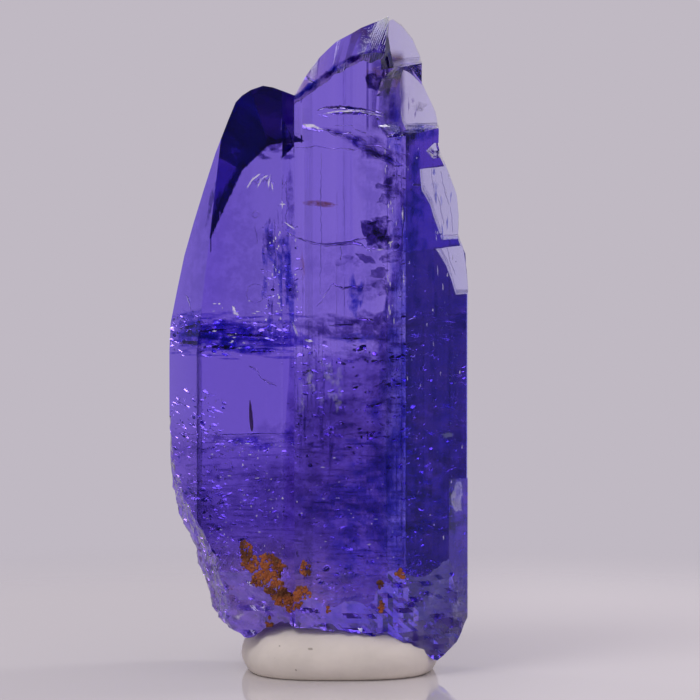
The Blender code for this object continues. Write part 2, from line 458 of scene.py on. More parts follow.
def roughen(bm, box, step, amount, scale):
    """Cuts a cutter up on a grid inside box and pushes its points about, so that it
    leaves a broken surface."""
    for axis in range(3):
        low, high = box[axis]
        normal = Vector((0.0, 0.0, 0.0))
        normal[axis] = 1.0
        for k in range(int((high - low) / step) + 1):
            where = Vector((0.0, 0.0, 0.0))
            where[axis] = low + k * step
            bmesh.ops.bisect_plane(
                bm, geom=bm.verts[:] + bm.edges[:] + bm.faces[:], plane_co=where, plane_no=normal
            )
    bm = in_order(bm)
    bmesh.ops.triangulate(bm, faces=bm.faces)
    for v in bm.verts:
        v.co += amount * noise.noise_vector(v.co * scale)
        v.co += 0.4 * amount * noise.noise_vector(v.co * scale * 2.7)
    return bm


def block(planes, reach=60.0):
    bm = bmesh.new()
    bmesh.ops.create_cube(bm, size=2 * reach)
    for normal, point in planes:
        trim(bm, normal, point)
    return bm


# Every cut has to leave this share of the stone, and change its volume by this much, in
# cubic millimetres.
LEAST_LEFT = 0.8
LEAST_CHANGE = 0.5


def solid_volume(mesh):
    """Volume of a mesh in cubic millimetres, or nothing where it isn't closed."""
    bm = bmesh.new()
    bm.from_mesh(mesh)
    volume = bm.calc_volume() / MM**3
    if any(not e.is_manifold for e in bm.edges):
        volume = 0.0
    bm.free()
    return volume


def combine(obj, name, bm, operation):
    """Joins the shape bm to obj or takes it away. Stops the script when the result isn't
    closed, has hardly changed, or has lost too much of the stone."""
    tool = finish_mesh(name, in_order(bm), None)
    before = solid_volume(obj.data)
    modifier = obj.modifiers.new(name, "BOOLEAN")
    modifier.operation = operation
    modifier.solver = "MANIFOLD"
    modifier.object = tool
    bpy.context.view_layer.update()
    plain_mesh(obj)
    bpy.data.objects.remove(tool, do_unlink=True)
    after = solid_volume(obj.data)
    change = after - before if operation == "UNION" else before - after
    if after < LEAST_LEFT * before or change < LEAST_CHANGE:
        raise RuntimeError("the shape was not cut as it should be: " + name)


def plain_mesh(obj):
    """Applies the modifiers and puts the result in the object."""
    graph = bpy.context.evaluated_depsgraph_get()
    mesh = bpy.data.meshes.new_from_object(obj.evaluated_get(graph))
    mesh.name = obj.name
    obj.modifiers.clear()
    obj.data = mesh


def base_height(x, y):
    for (xa, za), (xb, zb) in zip(BASE_LINE, BASE_LINE[1:]):
        if x <= xb:
            z = za + (zb - za) * max(0.0, x - xa) / (xb - xa)
            break
    else:
        z = BASE_LINE[-1][1]
    return z + 0.05 * (y + 4.30)


def rides(obj):
    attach(obj, "root")
    return obj


# Materials
class Nodes:
    """Short words for building a material's nodes."""

    def __init__(self, name, tree=None, output="ShaderNodeOutputMaterial"):
        if tree is None:
            self.mat = bpy.data.materials.new(name)
            self.mat.use_nodes = True
            tree = self.mat.node_tree
        self.tree = tree
        self.tree.nodes.clear()
        self.out = self.tree.nodes.new(output)

    def add(self, kind, **values):
        node = self.tree.nodes.new("ShaderNode" + kind)
        for key, value in values.items():
            setattr(node, key, value)
        return node

    def link(self, a, b):
        self.tree.links.new(a, b)

    def coords(self):
        return self.add("TexCoord").outputs["Object"]

    def noise(self, vector, scale, detail=4.0, rough=0.55, stretch=None, spin=0.0, kind="FBM"):
        if stretch is not None:
            if spin:
                turned = self.add("Mapping")
                turned.inputs["Rotation"].default_value = (0.0, math.radians(spin), 0.0)
                self.link(vector, turned.inputs["Vector"])
                vector = turned.outputs["Vector"]
            mapping = self.add("Mapping")
            mapping.inputs["Scale"].default_value = stretch
            self.link(vector, mapping.inputs["Vector"])
            vector = mapping.outputs["Vector"]
        node = self.add("TexNoise", noise_type=kind)
        node.inputs["Scale"].default_value = scale
        node.inputs["Detail"].default_value = detail
        node.inputs["Roughness"].default_value = rough
        self.link(vector, node.inputs["Vector"])
        return node.outputs["Fac"]

    def math(self, op, a, b=None, clamp=False):
        node = self.add("Math", operation=op, use_clamp=clamp)
        for socket, value in zip(node.inputs, (a, b)):
            if value is None:
                continue
            if isinstance(value, (int, float)):
                socket.default_value = value
            else:
                self.link(value, socket)
        return node.outputs[0]

    def product(self, value, *others):
        for other in others:
            value = self.math("MULTIPLY", value, other)
        return value

    def total(self, value, *others):
        for other in others:
            value = self.math("ADD", value, other)
        return value

    def span(self, value, low, high, to_low=0.0, to_high=1.0, smooth=True):
        node = self.add("MapRange", clamp=True)
        if smooth:
            node.interpolation_type = "SMOOTHSTEP"
        self.link(value, node.inputs["Value"])
        for key, v in (
            ("From Min", low),
            ("From Max", high),
            ("To Min", to_low),
            ("To Max", to_high),
        ):
            node.inputs[key].default_value = v
        return node.outputs["Result"]

    def mix(self, factor, a, b):
        node = self.add("Mix", data_type="RGBA")
        for socket, value in zip((node.inputs[0], node.inputs[6], node.inputs[7]), (factor, a, b)):
            if isinstance(value, tuple):
                socket.default_value = (*value, 1.0)
            elif isinstance(value, (int, float)):
                socket.default_value = value
            else:
                self.link(value, socket)
        return node.outputs[2]

    def split(self, vector):
        node = self.add("SeparateXYZ")
        self.link(vector, node.inputs[0])
        return node.outputs

    def surface(self, shader):
        self.link(shader.outputs[0], self.out.inputs["Surface"])
        return self.mat

    def bumped(self, shader, height, strength, distance):
        """A shader's surface, roughened by a height."""
        node = self.add("Bump")
        node.inputs["Strength"].default_value = strength
        node.inputs["Distance"].default_value = distance
        self.link(height, node.inputs["Height"])
        self.link(node.outputs[0], shader.inputs["Normal"])
        return self.surface(shader)

    def blended(self, factor, first, second):
        """A surface that goes from the first shader to the second."""
        node = self.add("MixShader")
        for value, socket in zip((factor, first.outputs[0], second.outputs[0]), node.inputs):
            self.link(value, socket)
        return self.surface(node)


def crystal_material():
    s = settings("crystal")
    n = Nodes("tanzanite")
    at = n.coords()
    x, y, z = n.split(at)
    shader = n.add("BsdfPrincipled")
    shader.inputs["IOR"].default_value = s.ior
    shader.inputs["Transmission Weight"].default_value = 1.0
    shader.inputs["Metallic"].default_value = 0.0
    # How high the cloudy part reaches: low on the left, higher in the middle, highest
    # on the right
    middle = n.span(x, -0.00170, -0.00130, 0.0, 0.0042)
    right = n.span(x, 0.0024, 0.0044, 0.0, 0.0085)
    ragged = n.noise(at, 330.0, 5.0, 0.62, stretch=(1.0, 1.0, 1.6))
    wander = n.product(n.math("SUBTRACT", ragged, 0.5), n.span(x, -0.0016, 0.001, 0.0012, 0.0075))
    limit = n.total(n.total(middle, right), n.total(wander, 0.01135))
    cloud = n.span(n.math("SUBTRACT", limit, z), -0.0002, 0.0009)
    deep = n.span(n.math("SUBTRACT", limit, z), 0.0, 0.0045)
    # Thin plates of the broken right edge, which stay clear
    plates = n.product(n.span(x, 0.0045, 0.0048), n.span(z, 0.0175, 0.0179))
    plates = n.product(plates, n.span(y, -0.0003, 0.0002))
    tips = n.product(n.span(x, 0.0029, 0.0032), n.span(z, 0.0253, 0.0256))
    tips = n.product(tips, n.span(y, 0.0009, 0.0012))
    plates = n.math("MAXIMUM", plates, tips)
    facing = n.product(n.span(y, 0.0010, -0.0002), n.math("SUBTRACT", 1.0, plates))
    cloud = n.product(cloud, facing)
    foot = n.span(z, 0.0075, 0.0035)
    # Roughness: clean above, faintly etched in the cloudy part, frosty at the foot
    fine = n.noise(at, 2300.0, 4.0, 0.6)
    etched = n.product(cloud, n.span(fine, 0.50, 0.75, 0.0, 0.03))
    frosty = n.product(foot, n.span(fine, 0.40, 0.70, 0.0, 0.22))
    wall = n.product(n.span(x, 0.0024, 0.0027), n.span(x, 0.0041, 0.0038))
    wall = n.product(wall, n.span(z, 0.0253, 0.0257), n.span(z, 0.0292, 0.0286))
    wall = n.product(wall, n.span(y, -0.00425, -0.00415))
    rough = n.total(n.total(etched, frosty), 0.006)
    rough = n.total(rough, n.product(wall, 0.22))
    n.link(rough, shader.inputs["Roughness"])
    # Colour: streaks up the faces, horizontal wisps and mottling in the cloudy part
    bands = n.noise(at, 1.0, 3.0, 0.6, stretch=(900.0, 900.0, 14.0))
    tint = n.mix(n.span(bands, 0.35, 0.65), (0.86, 0.85, 0.96), (1.0, 1.0, 1.0))
    smaller = n.mix(n.span(x, -0.0055, -0.0020), (0.62, 0.53, 0.88), (0.73, 0.70, 0.88))
    smaller = n.mix(n.span(z, 0.0165, 0.0150), smaller, (0.64, 0.56, 0.86))
    tint = n.mix(n.span(x, -0.0015, -0.0011), smaller, tint)
    wisps = n.noise(at, 1.0, 6.0, 0.68, stretch=(420.0, 420.0, 1300.0))
    mottle = n.noise(at, 1500.0, 5.0, 0.7)
    mixed = n.total(n.product(wisps, 0.6), n.product(mottle, 0.4))
    grain = n.span(mixed, 0.40, 0.60)
    murk = n.mix(grain, (0.070, 0.036, 0.19), (0.185, 0.115, 0.44))
    blue = n.mix(grain, (0.32, 0.42, 1.0), (0.68, 0.86, 1.0))
    murk = n.mix(n.span(x, 0.0027, 0.0042), murk, blue)
    murk = n.mix(deep, n.mix(grain, (0.19, 0.13, 0.44), (0.42, 0.32, 0.72)), murk)
    tint = n.mix(cloud, tint, murk)
    pale = n.mix(n.span(mixed, 0.40, 0.60), (0.30, 0.225, 0.44), (0.76, 0.63, 0.72))
    pale = n.mix(n.span(x, -0.001, 0.002), pale, n.mix(grain, (0.22, 0.16, 0.64), (0.50, 0.38, 1.0)))
    tint = n.mix(foot, tint, pale)
    aside, ahead, up = n.split(n.add("NewGeometry").outputs["True Normal"])
    # Broken faces of the foot: down the left border, and leaning in at the lower right
    border = n.product(n.span(aside, -0.20, -0.45), n.span(ahead, -0.30, -0.75, 1.0, 0.55))
    border = n.product(border, n.span(x, -0.0008, -0.0016), n.span(z, 0.0125, 0.0112))
    tint = n.mix(border, tint, n.mix(grain, (0.20, 0.10, 0.42), (0.58, 0.39, 0.76)))
    tuck = n.product(n.span(up, -0.06, -0.22), n.span(x, 0.0022, 0.0032), n.span(z, 0.0074, 0.0066))
    tint = n.mix(tuck, tint, n.mix(grain, (0.20, 0.16, 1.0), (0.52, 0.44, 1.0)))
    # The narrow strip up the lower right edge, with milky patches at both ends
    strip = n.product(n.span(aside, 0.80, 0.86), n.span(z, 0.0096, 0.0084), n.span(ahead, -0.30, -0.38))
    milky = n.product(n.span(z, 0.0076, 0.0084), n.span(z, 0.0094, 0.0088))
    milky = n.math("MAXIMUM", milky, n.span(z, 0.0038, 0.0030))
    tint = n.mix(strip, tint, n.mix(milky, (0.50, 0.52, 0.90), (0.92, 0.90, 1.0)))
    plain = n.mix(n.span(z, 0.0245, 0.0250), (0.86, 0.86, 0.80), (0.96, 0.95, 0.82))
    tint = n.mix(plates, tint, plain)
    # Painted shade: the ledge under the slanting facets is tinted almost black, for the shade along it
    ledge = n.product(n.span(y, -0.00368, -0.00376), n.span(up, 0.15, 0.30))
    ledge = n.product(ledge, n.span(z, 0.0255, 0.0258))
    top = n.product(n.span(y, -0.0024, -0.0028), n.span(up, 0.10, 0.25))
    top = n.product(top, n.span(z, 0.0258, 0.0262))
    slanting = n.mix(n.span(x, -0.0004, 0.0014), (0.88, 0.82, 0.97), (0.49, 0.41, 0.82))
    tint = n.mix(top, tint, n.mix(n.span(x, 0.0014, 0.0026), slanting, (0.18, 0.105, 0.62)))
    tint = n.mix(ledge, tint, n.mix(n.span(mottle, 0.40, 0.55), (0.02, 0.015, 0.16), (0.30, 0.24, 0.62)))
    rusty = n.mix(n.span(mottle, 0.42, 0.60), (0.22, 0.13, 0.10), (0.15, 0.115, 0.32))
    scuffed = n.mix(grain, (0.13, 0.095, 0.27), (0.30, 0.24, 0.50))
    tint = n.mix(wall, tint, n.mix(n.span(z, 0.0272, 0.0282), scuffed, rusty))
    n.link(tint, shader.inputs["Base Color"])
    # Relief
    streaks = n.noise(at, 1.0, 4.0, 0.6, stretch=(5200.0, 5200.0, 60.0))
    pits = n.noise(at, 1500.0, 6.0, 0.65)
    broken = n.noise(at, 620.0, 5.0, 0.6)
    relief = n.total(n.product(streaks, 0.12), n.product(pits, n.product(cloud, 0.16)))
    relief = n.total(relief, n.product(broken, n.product(foot, 3.0)))
    fan = n.noise(at, 1.0, 4.0, 0.6, stretch=(5200.0, 1500.0, 700.0), spin=-32.0)
    fan = n.product(fan, n.product(foot, n.span(x, -0.0008, -0.0020)))
    relief = n.total(relief, n.product(fan, 2.4))
    n.bumped(shader, relief, 0.5, 0.00005)
    inside = n.add("VolumeAbsorption")
    inside.inputs["Color"].default_value = (*s.absorb_colour, 1.0)
    inside.inputs["Density"].default_value = s.absorb_density
    n.link(inside.outputs[0], n.out.inputs["Volume"])
    return n.mat


def air_material(name="crack_air", roughness=0.02, bump_scale=900.0, bump=0.3):
    """A gap of air in the stone, met from inside it."""
    s = settings("crystal")
    n = Nodes(name)
    at = n.coords()
    shader = n.add("BsdfGlass")
    shader.inputs["Color"].default_value = (1, 1, 1, 1)
    shader.inputs["IOR"].default_value = 1.0 / s.ior
    shader.inputs["Roughness"].default_value = roughness
    ridges = n.noise(at, bump_scale, 4.0, 0.6)
    return n.bumped(shader, ridges, bump, 0.00006)


def crust_material():
    s = settings("crust")
    n = Nodes("iron_crust")
    at = n.coords()
    shader = n.add("BsdfPrincipled")
    blotch = n.noise(at, 900.0, 5.0)
    grain = n.noise(at, 4200.0, 4.0)
    dark = tuple(c * 0.30 for c in s.colour)
    colour = n.mix(n.span(blotch, 0.40, 0.60), dark, tuple(s.colour))
    colour = n.mix(n.span(grain, 0.55, 0.75, 0.0, 0.5), colour, (0.55, 0.30, 0.14))
    n.link(colour, shader.inputs["Base Color"])
    shader.inputs["Roughness"].default_value = 0.8
    return n.bumped(shader, grain, 0.8, 0.00005)


def putty_material():
    s = settings("putty")
    n = Nodes("putty")
    at = n.coords()
    shader = n.add("BsdfPrincipled")
    shader.inputs["Roughness"].default_value = s.roughness
    soft = n.noise(at, 350.0, 4.0)
    grain = n.noise(at, 3000.0, 3.0)
    colour = n.mix(n.span(soft, 0.3, 0.7), tuple(c * 0.86 for c in s.colour), tuple(s.colour))
    speck = n.noise(at, 2400.0, 1.0)
    colour = n.mix(n.span(speck, 0.74, 0.78, 0.0, 0.7), colour, (0.30, 0.25, 0.20))
    n.link(colour, shader.inputs["Base Color"])
    return n.bumped(shader, n.total(n.product(grain, 0.35), soft), 0.5, 0.00008)


# Pieces
MAIN_STEPS = (
    # On the broad front face: distance from the seam, width, depth after
    (0.30, 0.08, 0.008), (1.22, 0.10, 0.014), (1.88, 0.12, 0.004), (2.58, 0.14, 0.014),
    (3.35, 0.10, 0.0),
)


CHIPS = (
    # Name, outline, floor plane, outline where it has opened out, where it starts to
    # open, roughness
    (
        "apex",
        (
            (3.24, 30.90), (3.19, 30.21), (3.31, 29.40), (3.46, 28.67),
            (4.11, 28.79), (9.0, 29.3), (9.0, 34.0), (3.24, 34.0),
        ),
        ((-0.06, -0.99, 0.10), (4.0, 1.95, 29.4)),
        (
            (3.10, 30.80), (2.90, 30.21), (2.70, 29.40), (2.60, 28.50),
            (4.11, 28.70), (9.0, 29.3), (9.0, 34.0), (3.10, 34.0),
        ),
        -3.0,
        0.0,
    ),
    (
        "corner",
        (
            (4.01, 28.69), (4.77, 27.77), (9.0, 26.5), (9.0, 25.80), (4.06, 25.72),
            (3.88, 26.11), (3.80, 26.44), (3.76, 27.34), (3.80, 28.10),
        ),
        ((-0.04, -0.99, -0.06), (4.6, 1.45, 27.0)),
        (
            (3.30, 28.80), (4.77, 28.10), (9.0, 27.2), (9.0, 25.70), (2.75, 25.30),
            (2.25, 25.90), (2.05, 26.50), (2.15, 27.34), (2.45, 28.20),
        ),
        -3.0,
        0.06,
    ),
    (
        "nick",
        ((5.10, 24.72), (5.50, 25.02), (9.0, 25.2), (9.0, 24.5), (5.42, 24.50)),
        ((-0.2, -0.9, -0.2), (5.4, 1.3, 24.7)),
        ((4.95, 24.72), (5.30, 25.10), (9.0, 25.3), (9.0, 24.4), (5.25, 24.35)),
        None,
        0.05,
    ),
    (
        "flake",
        (
            (4.82, 23.96), (9.0, 24.1), (9.0, 20.62), (5.81, 20.50),
            (5.57, 21.25), (5.29, 22.19), (4.91, 22.90),
        ),
        ((-0.05, -0.99, 0.03), (5.7, 0.98, 22.0)),
        (
            (4.62, 23.90), (9.0, 24.1), (9.0, 20.62), (5.66, 20.55),
            (5.40, 21.25), (5.12, 22.19), (4.72, 22.90),
        ),
        None,
        0.03,
    ),
    (
        "low_flake",
        ((5.57, 20.16), (9.0, 20.4), (9.0, 17.9), (6.46, 17.94), (6.04, 19.31)),
        ((-0.08, -0.99, 0.02), (6.3, 0.72, 19.0)),
        ((5.35, 20.12), (9.0, 20.4), (9.0, 17.9), (6.32, 17.94), (5.86, 19.31)),
        None,
        0.03,
    ),
)


def broken_base(nx=52, ny=26):
    """A cutter for everything under the broken foot."""
    rows = []
    for j in range(ny + 1):
        y = -6.0 + 12.0 * j / ny
        row = []
        for i in range(nx + 1):
            x = -8.0 + 16.0 * i / nx
            p = Vector((x, y, 3.1))
            rough = 0.22 * noise.noise(p * 0.9) + 0.14 * noise.noise(p * 2.3)
            rough += 0.06 * noise.cell(p * 1.7)
            row.append((x, y, base_height(x, y) + rough))
        rows.append(row)
    return sheet_to(rows, 2, -4.0)


def smaller_front(x):
    """Y of the smaller individual's broad face at x."""
    return -3.55 - 0.121 * (x + 1.45)


def broad_front(x):
    """Y of the larger individual's broad face at x."""
    return -4.22 - 0.03 * (x + 1.15)


def slanting_front(x):
    """Y of the slanting blue face at x."""
    return -4.27 + 0.845 * (x - 4.02)


def front_depth(x):
    """Y of the front faces at x."""
    if x < -1.2:
        return smaller_front(x)
    if x < 4.0:
        return broad_front(x)
    return slanting_front(x)


def broken_front(step=0.24):
    """A cutter for the broken faces that lean in under the front of the foot."""
    rows = []
    for j in range(28):
        z = 7.0 - j * step
        row = []
        for i in range(64):
            x = -7.6 + i * step
            start = 3.9 + 0.9 * noise.noise(Vector((x * 0.55, 0.0, 2.0)))
            if x > 2.4:
                start += 1.5 * min(1.0, (x - 2.4) / 0.8)
            elif x < -2.2:
                start += 1.3 * min(1.0, (-2.2 - x) / 1.2)
            below = max(0.0, start - z)
            p = Vector((x, 0.0, z))
            facets = 0.10 * noise.cell(p * 0.9) + 0.30 * noise.noise(p * 1.1) + 0.14 * noise.noise(p * 2.7)
            inward = min(0.9, 0.26 * below) + min(1.0, below) * facets
            row.append((x, front_depth(x) - 0.12 + min(1.0, below * 3) * 0.12 + inward, z))
        rows.append(row)
    bm = sheet_to(rows, 1, -12.0)
    bmesh.ops.recalc_face_normals(bm, faces=bm.faces)
    return bm


def build_crystal():
    rnd = random.Random(settings("crystal").seed)

    def left_steps(k, length):
        if k in (0, 4, 3):
            return ()
        return random_steps(rnd, length, 0.55, 0.016)

    def right_steps(k, length):
        if k == 1:
            return MAIN_STEPS
        if k in (0, 2):
            return ()
        return random_steps(rnd, length, 0.7, 0.02)

    left = prism(LEFT_SECTION, left_steps)
    for plane in shoulder_planes(SHOULDER, -3.4, (-0.02, 1.0, -0.10)):
        trim(left, *plane)
    # The slope behind the shoulder, which shows as a dark cap through the front
    for normal, point in (
        ((-0.03, 0.707, 0.707), (-0.40, 4.19, 24.95)),
        ((-0.462, 0.70, 0.545), (-2.86, 4.40, 23.93)),
        ((-0.617, 0.72, 0.319), (-3.86, 4.50, 22.27)),
        ((-0.80, -0.56, 0.085), (-5.08, -3.11, 20.9)),
    ):
        trim(left, normal, point)
    right = prism(RIGHT_SECTION, right_steps)
    crystal = finish_mesh("tanzanite", in_order(right), crystal_material())
    combine(crystal, "roof", roof(slanting_top(rnd)), "DIFFERENCE")
    combine(crystal, "left_individual", left, "UNION")
    outline = roughen(
        notch(RIGHT_OUTLINE),
        ((3.0, 8.0), (-5.0, 5.0), (17.0, 31.0)),
        step=0.7,
        amount=0.05,
        scale=0.8,
    )
    combine(crystal, "right_outline", outline, "DIFFERENCE")
    flared = [(x + min(1.5, max(0.0, 0.28 * (12.1 - z))), z) for x, z in LEFT_FOOT]
    foot = roughen(
        notch(LEFT_FOOT, opening=flared, waist=0.4),
        ((-7.5, -3.0), (-5.0, 5.0), (1.0, 12.5)),
        step=0.23,
        amount=0.16,
        scale=2.0,
    )
    combine(crystal, "left_foot", foot, "DIFFERENCE")
    for name, outline, floor, opening, waist, rough in CHIPS:
        bm = notch(outline, floor, opening, waist)
        if rough:
            bm = roughen(bm, ((2.5, 7.5), (-5.0, 4.0), (17.5, 31.0)), 0.6, rough, 1.3)
        combine(crystal, "chip_" + name, bm, "DIFFERENCE")
    strip = block(
        (
            ((0.0, 0.06, 1.0), (0.0, 0.0, 9.15)),
            ((1.0, 0.0, 0.0), (12.0, 0.0, 0.0)),
            ((0.0, -1.0, 0.0), (0.0, -12.0, 0.0)),
            ((-0.90, 0.43, 0.0), (6.05, -2.55, 0.0)),
            ((0.0, 0.0, -1.0), (0.0, 0.0, -4.0)),
        )
    )
    combine(crystal, "bevel_strip", strip, "DIFFERENCE")
    combine(crystal, "broken_front", broken_front(), "DIFFERENCE")
    combine(crystal, "broken_base", broken_base(), "DIFFERENCE")
    rides(crystal)
    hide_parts("tanzanite_crystal")
    return crystal


# Where the picture's points lie, in millimetres: the column of x = 0, the row of z = 0 in
# the plane y = 0, and points per millimetre across and up.
MIDDLE_COLUMN = 319.5
ZERO_ROW = 672
POINTS_ACROSS = 21.27
POINTS_UP = 21.185
# How far the line of sight falls per millimetre of depth, in air and in the stone, and how
# far it drifts aside in the stone behind the two faces that look away from the viewer.
FALL_IN_AIR = 0.0875
FALL_IN_STONE = 0.052
SMALLER_DRIFT = 0.049
SLANTING_DRIFT = -0.32


def seen(px, py, depth, within=None):
    """The point `depth` mm behind the front faces that shows at px, py in a picture
    700 points wide. The stone bends the line of sight, by how much depends on the face
    that the point `within` shows through."""
    within = px if within is None else within
    x = (px - MIDDLE_COLUMN) / POINTS_ACROSS
    if within > 404 and py < 125:
        front, drift = 1.45, 0.0
    elif within > 424 + 0.25 * (py - 160) and 150 < py < 292:
        front, drift = 0.98 if py < 243 else 0.72, 0.0
    elif within > 446 and py > 478:
        front, drift = -2.55 + 2.093 * (x - 6.05), 0.0
    elif within < 288:
        front, drift = smaller_front(x), SMALLER_DRIFT
    elif within < 404:
        front, drift = broad_front(x), 0.0
    else:
        front, drift = slanting_front(x), SLANTING_DRIFT
    z = (ZERO_ROW - py) / POINTS_UP - FALL_IN_AIR * front - FALL_IN_STONE * depth
    return Vector((x + drift * depth, front + depth, z))


def thin_sheet(bm, upper, lower):
    """Closes two grids of points that share their rim into one thin sheet."""
    tops = [[bm.verts.new(p) for p in row] for row in upper]
    rows, cols = len(upper), len(upper[0])
    lows = []
    for j in range(rows):
        line = []
        for i in range(cols):
            rim = i in (0, cols - 1) or j in (0, rows - 1)
            line.append(tops[j][i] if rim else bm.verts.new(lower[j][i]))
        lows.append(line)
    for grid, flip in ((tops, False), (lows, True)):
        for j in range(rows - 1):
            for i in range(cols - 1):
                face = [grid[j][i], grid[j][i + 1], grid[j + 1][i + 1], grid[j + 1][i]]
                bm.faces.new(list(reversed(face)) if flip else face)


def crack(bm, path, tilt, width, gap, upright, seed):
    """A narrow crack along a path. Across, it runs away from the viewer and rises by
    tilt degrees, or for an upright one turns aside by tilt degrees."""
    t = math.radians(tilt)
    across = Vector((0.0, math.cos(t), math.sin(t)))
    if upright:
        across = Vector((math.sin(t), math.cos(t), 0.0))
    points = []
    for a, b in zip(path, path[1:]):
        steps = max(2, int((b - a).length / 0.12))
        points += [a.lerp(b, k / steps) for k in range(steps)]
    points.append(path[-1])
    upper, lower = [], []
    last = len(points) - 1
    for k, p in enumerate(points):
        s = k / last
        taper = max(0.02, math.sin(math.pi * min(1.0, max(0.0, s))) ** 0.5)
        rag = 1.0 + 0.5 * noise.noise(Vector((k * 0.45, seed, 0.3)))
        half = 0.5 * width * taper * rag
        along = (points[min(last, k + 1)] - points[max(0, k - 1)]).normalized()
        normal = across.cross(along).normalized()
        p = p + 0.05 * noise.noise_vector(p * 1.9 + Vector((seed, 0, 0)))
        if tilt > 15:
            p = p + 0.035 * noise.noise_vector(p * 5.3 + Vector((0, seed, 0)))
        over, under = [], []
        for u in (-1.0, -0.6, -0.2, 0.2, 0.6, 1.0):
            q = p + across * (half * u * (1 + 0.2 * noise.noise(p * 3 + Vector((u, seed, 0)))))
            q += normal * ((0.03 if tilt > 15 else 0.006) * noise.noise(q * 2.5))
            swell = 0.5 * gap * (1 - u * u) ** 0.5
            over.append(q + normal * swell)
            under.append(q - normal * swell)
        upper.append(over)
        lower.append(under)
    thin_sheet(bm, upper, lower)


def parting(bm, centre, wide, deep, tilt, roll, turn, bend, gap, seed, ragged=0.3, ripple=0.012):
    """A broad flat crack: an uneven disc that rises away from the viewer by tilt degrees,
    slopes to the right by roll degrees, and is turned about the upright by turn."""
    frame_of = (
        Matrix.Rotation(math.radians(turn), 3, "Z")
        @ Matrix.Rotation(math.radians(-roll), 3, "Y")
        @ Matrix.Rotation(math.radians(tilt), 3, "X")
    )
    rings, turns = 7, 36
    upper, lower, rim = [], [], []

    def place(r, k, side):
        angle = 2 * math.pi * k / turns
        edge = 1 + ragged * noise.noise(Vector((2 * math.cos(angle), 2 * math.sin(angle), seed)))
        edge += 0.5 * ragged * noise.noise(Vector((5 * math.cos(angle), 5 * math.sin(angle), seed)))
        x, y = wide * r * edge * math.cos(angle), deep * r * edge * math.sin(angle)
        h = bend * (r * r) + ripple * noise.noise(Vector((x * 1.6, y * 1.6, seed + 5)))
        h += side * 0.5 * gap * max(0.0, 1 - r * r) ** 0.5
        return centre + frame_of @ Vector((x, y, h))

    tops = [[bm.verts.new(place(r / rings, k, 1)) for k in range(turns)] for r in range(1, rings + 1)]
    lows = [[bm.verts.new(place(r / rings, k, -1)) for k in range(turns)] for r in range(1, rings)]
    lows.append(tops[-1])
    for grid, side in ((tops, 1), (lows, -1)):
        hub = bm.verts.new(place(0.0, 0, side))
        for k in range(turns):
            n = (k + 1) % turns
            fan = [hub, grid[0][k], grid[0][n]]
            bm.faces.new(fan if side > 0 else list(reversed(fan)))
            for near, far in zip(grid, grid[1:]):
                quad = [near[k], far[k], far[n], near[n]]
                bm.faces.new(quad if side > 0 else list(reversed(quad)))


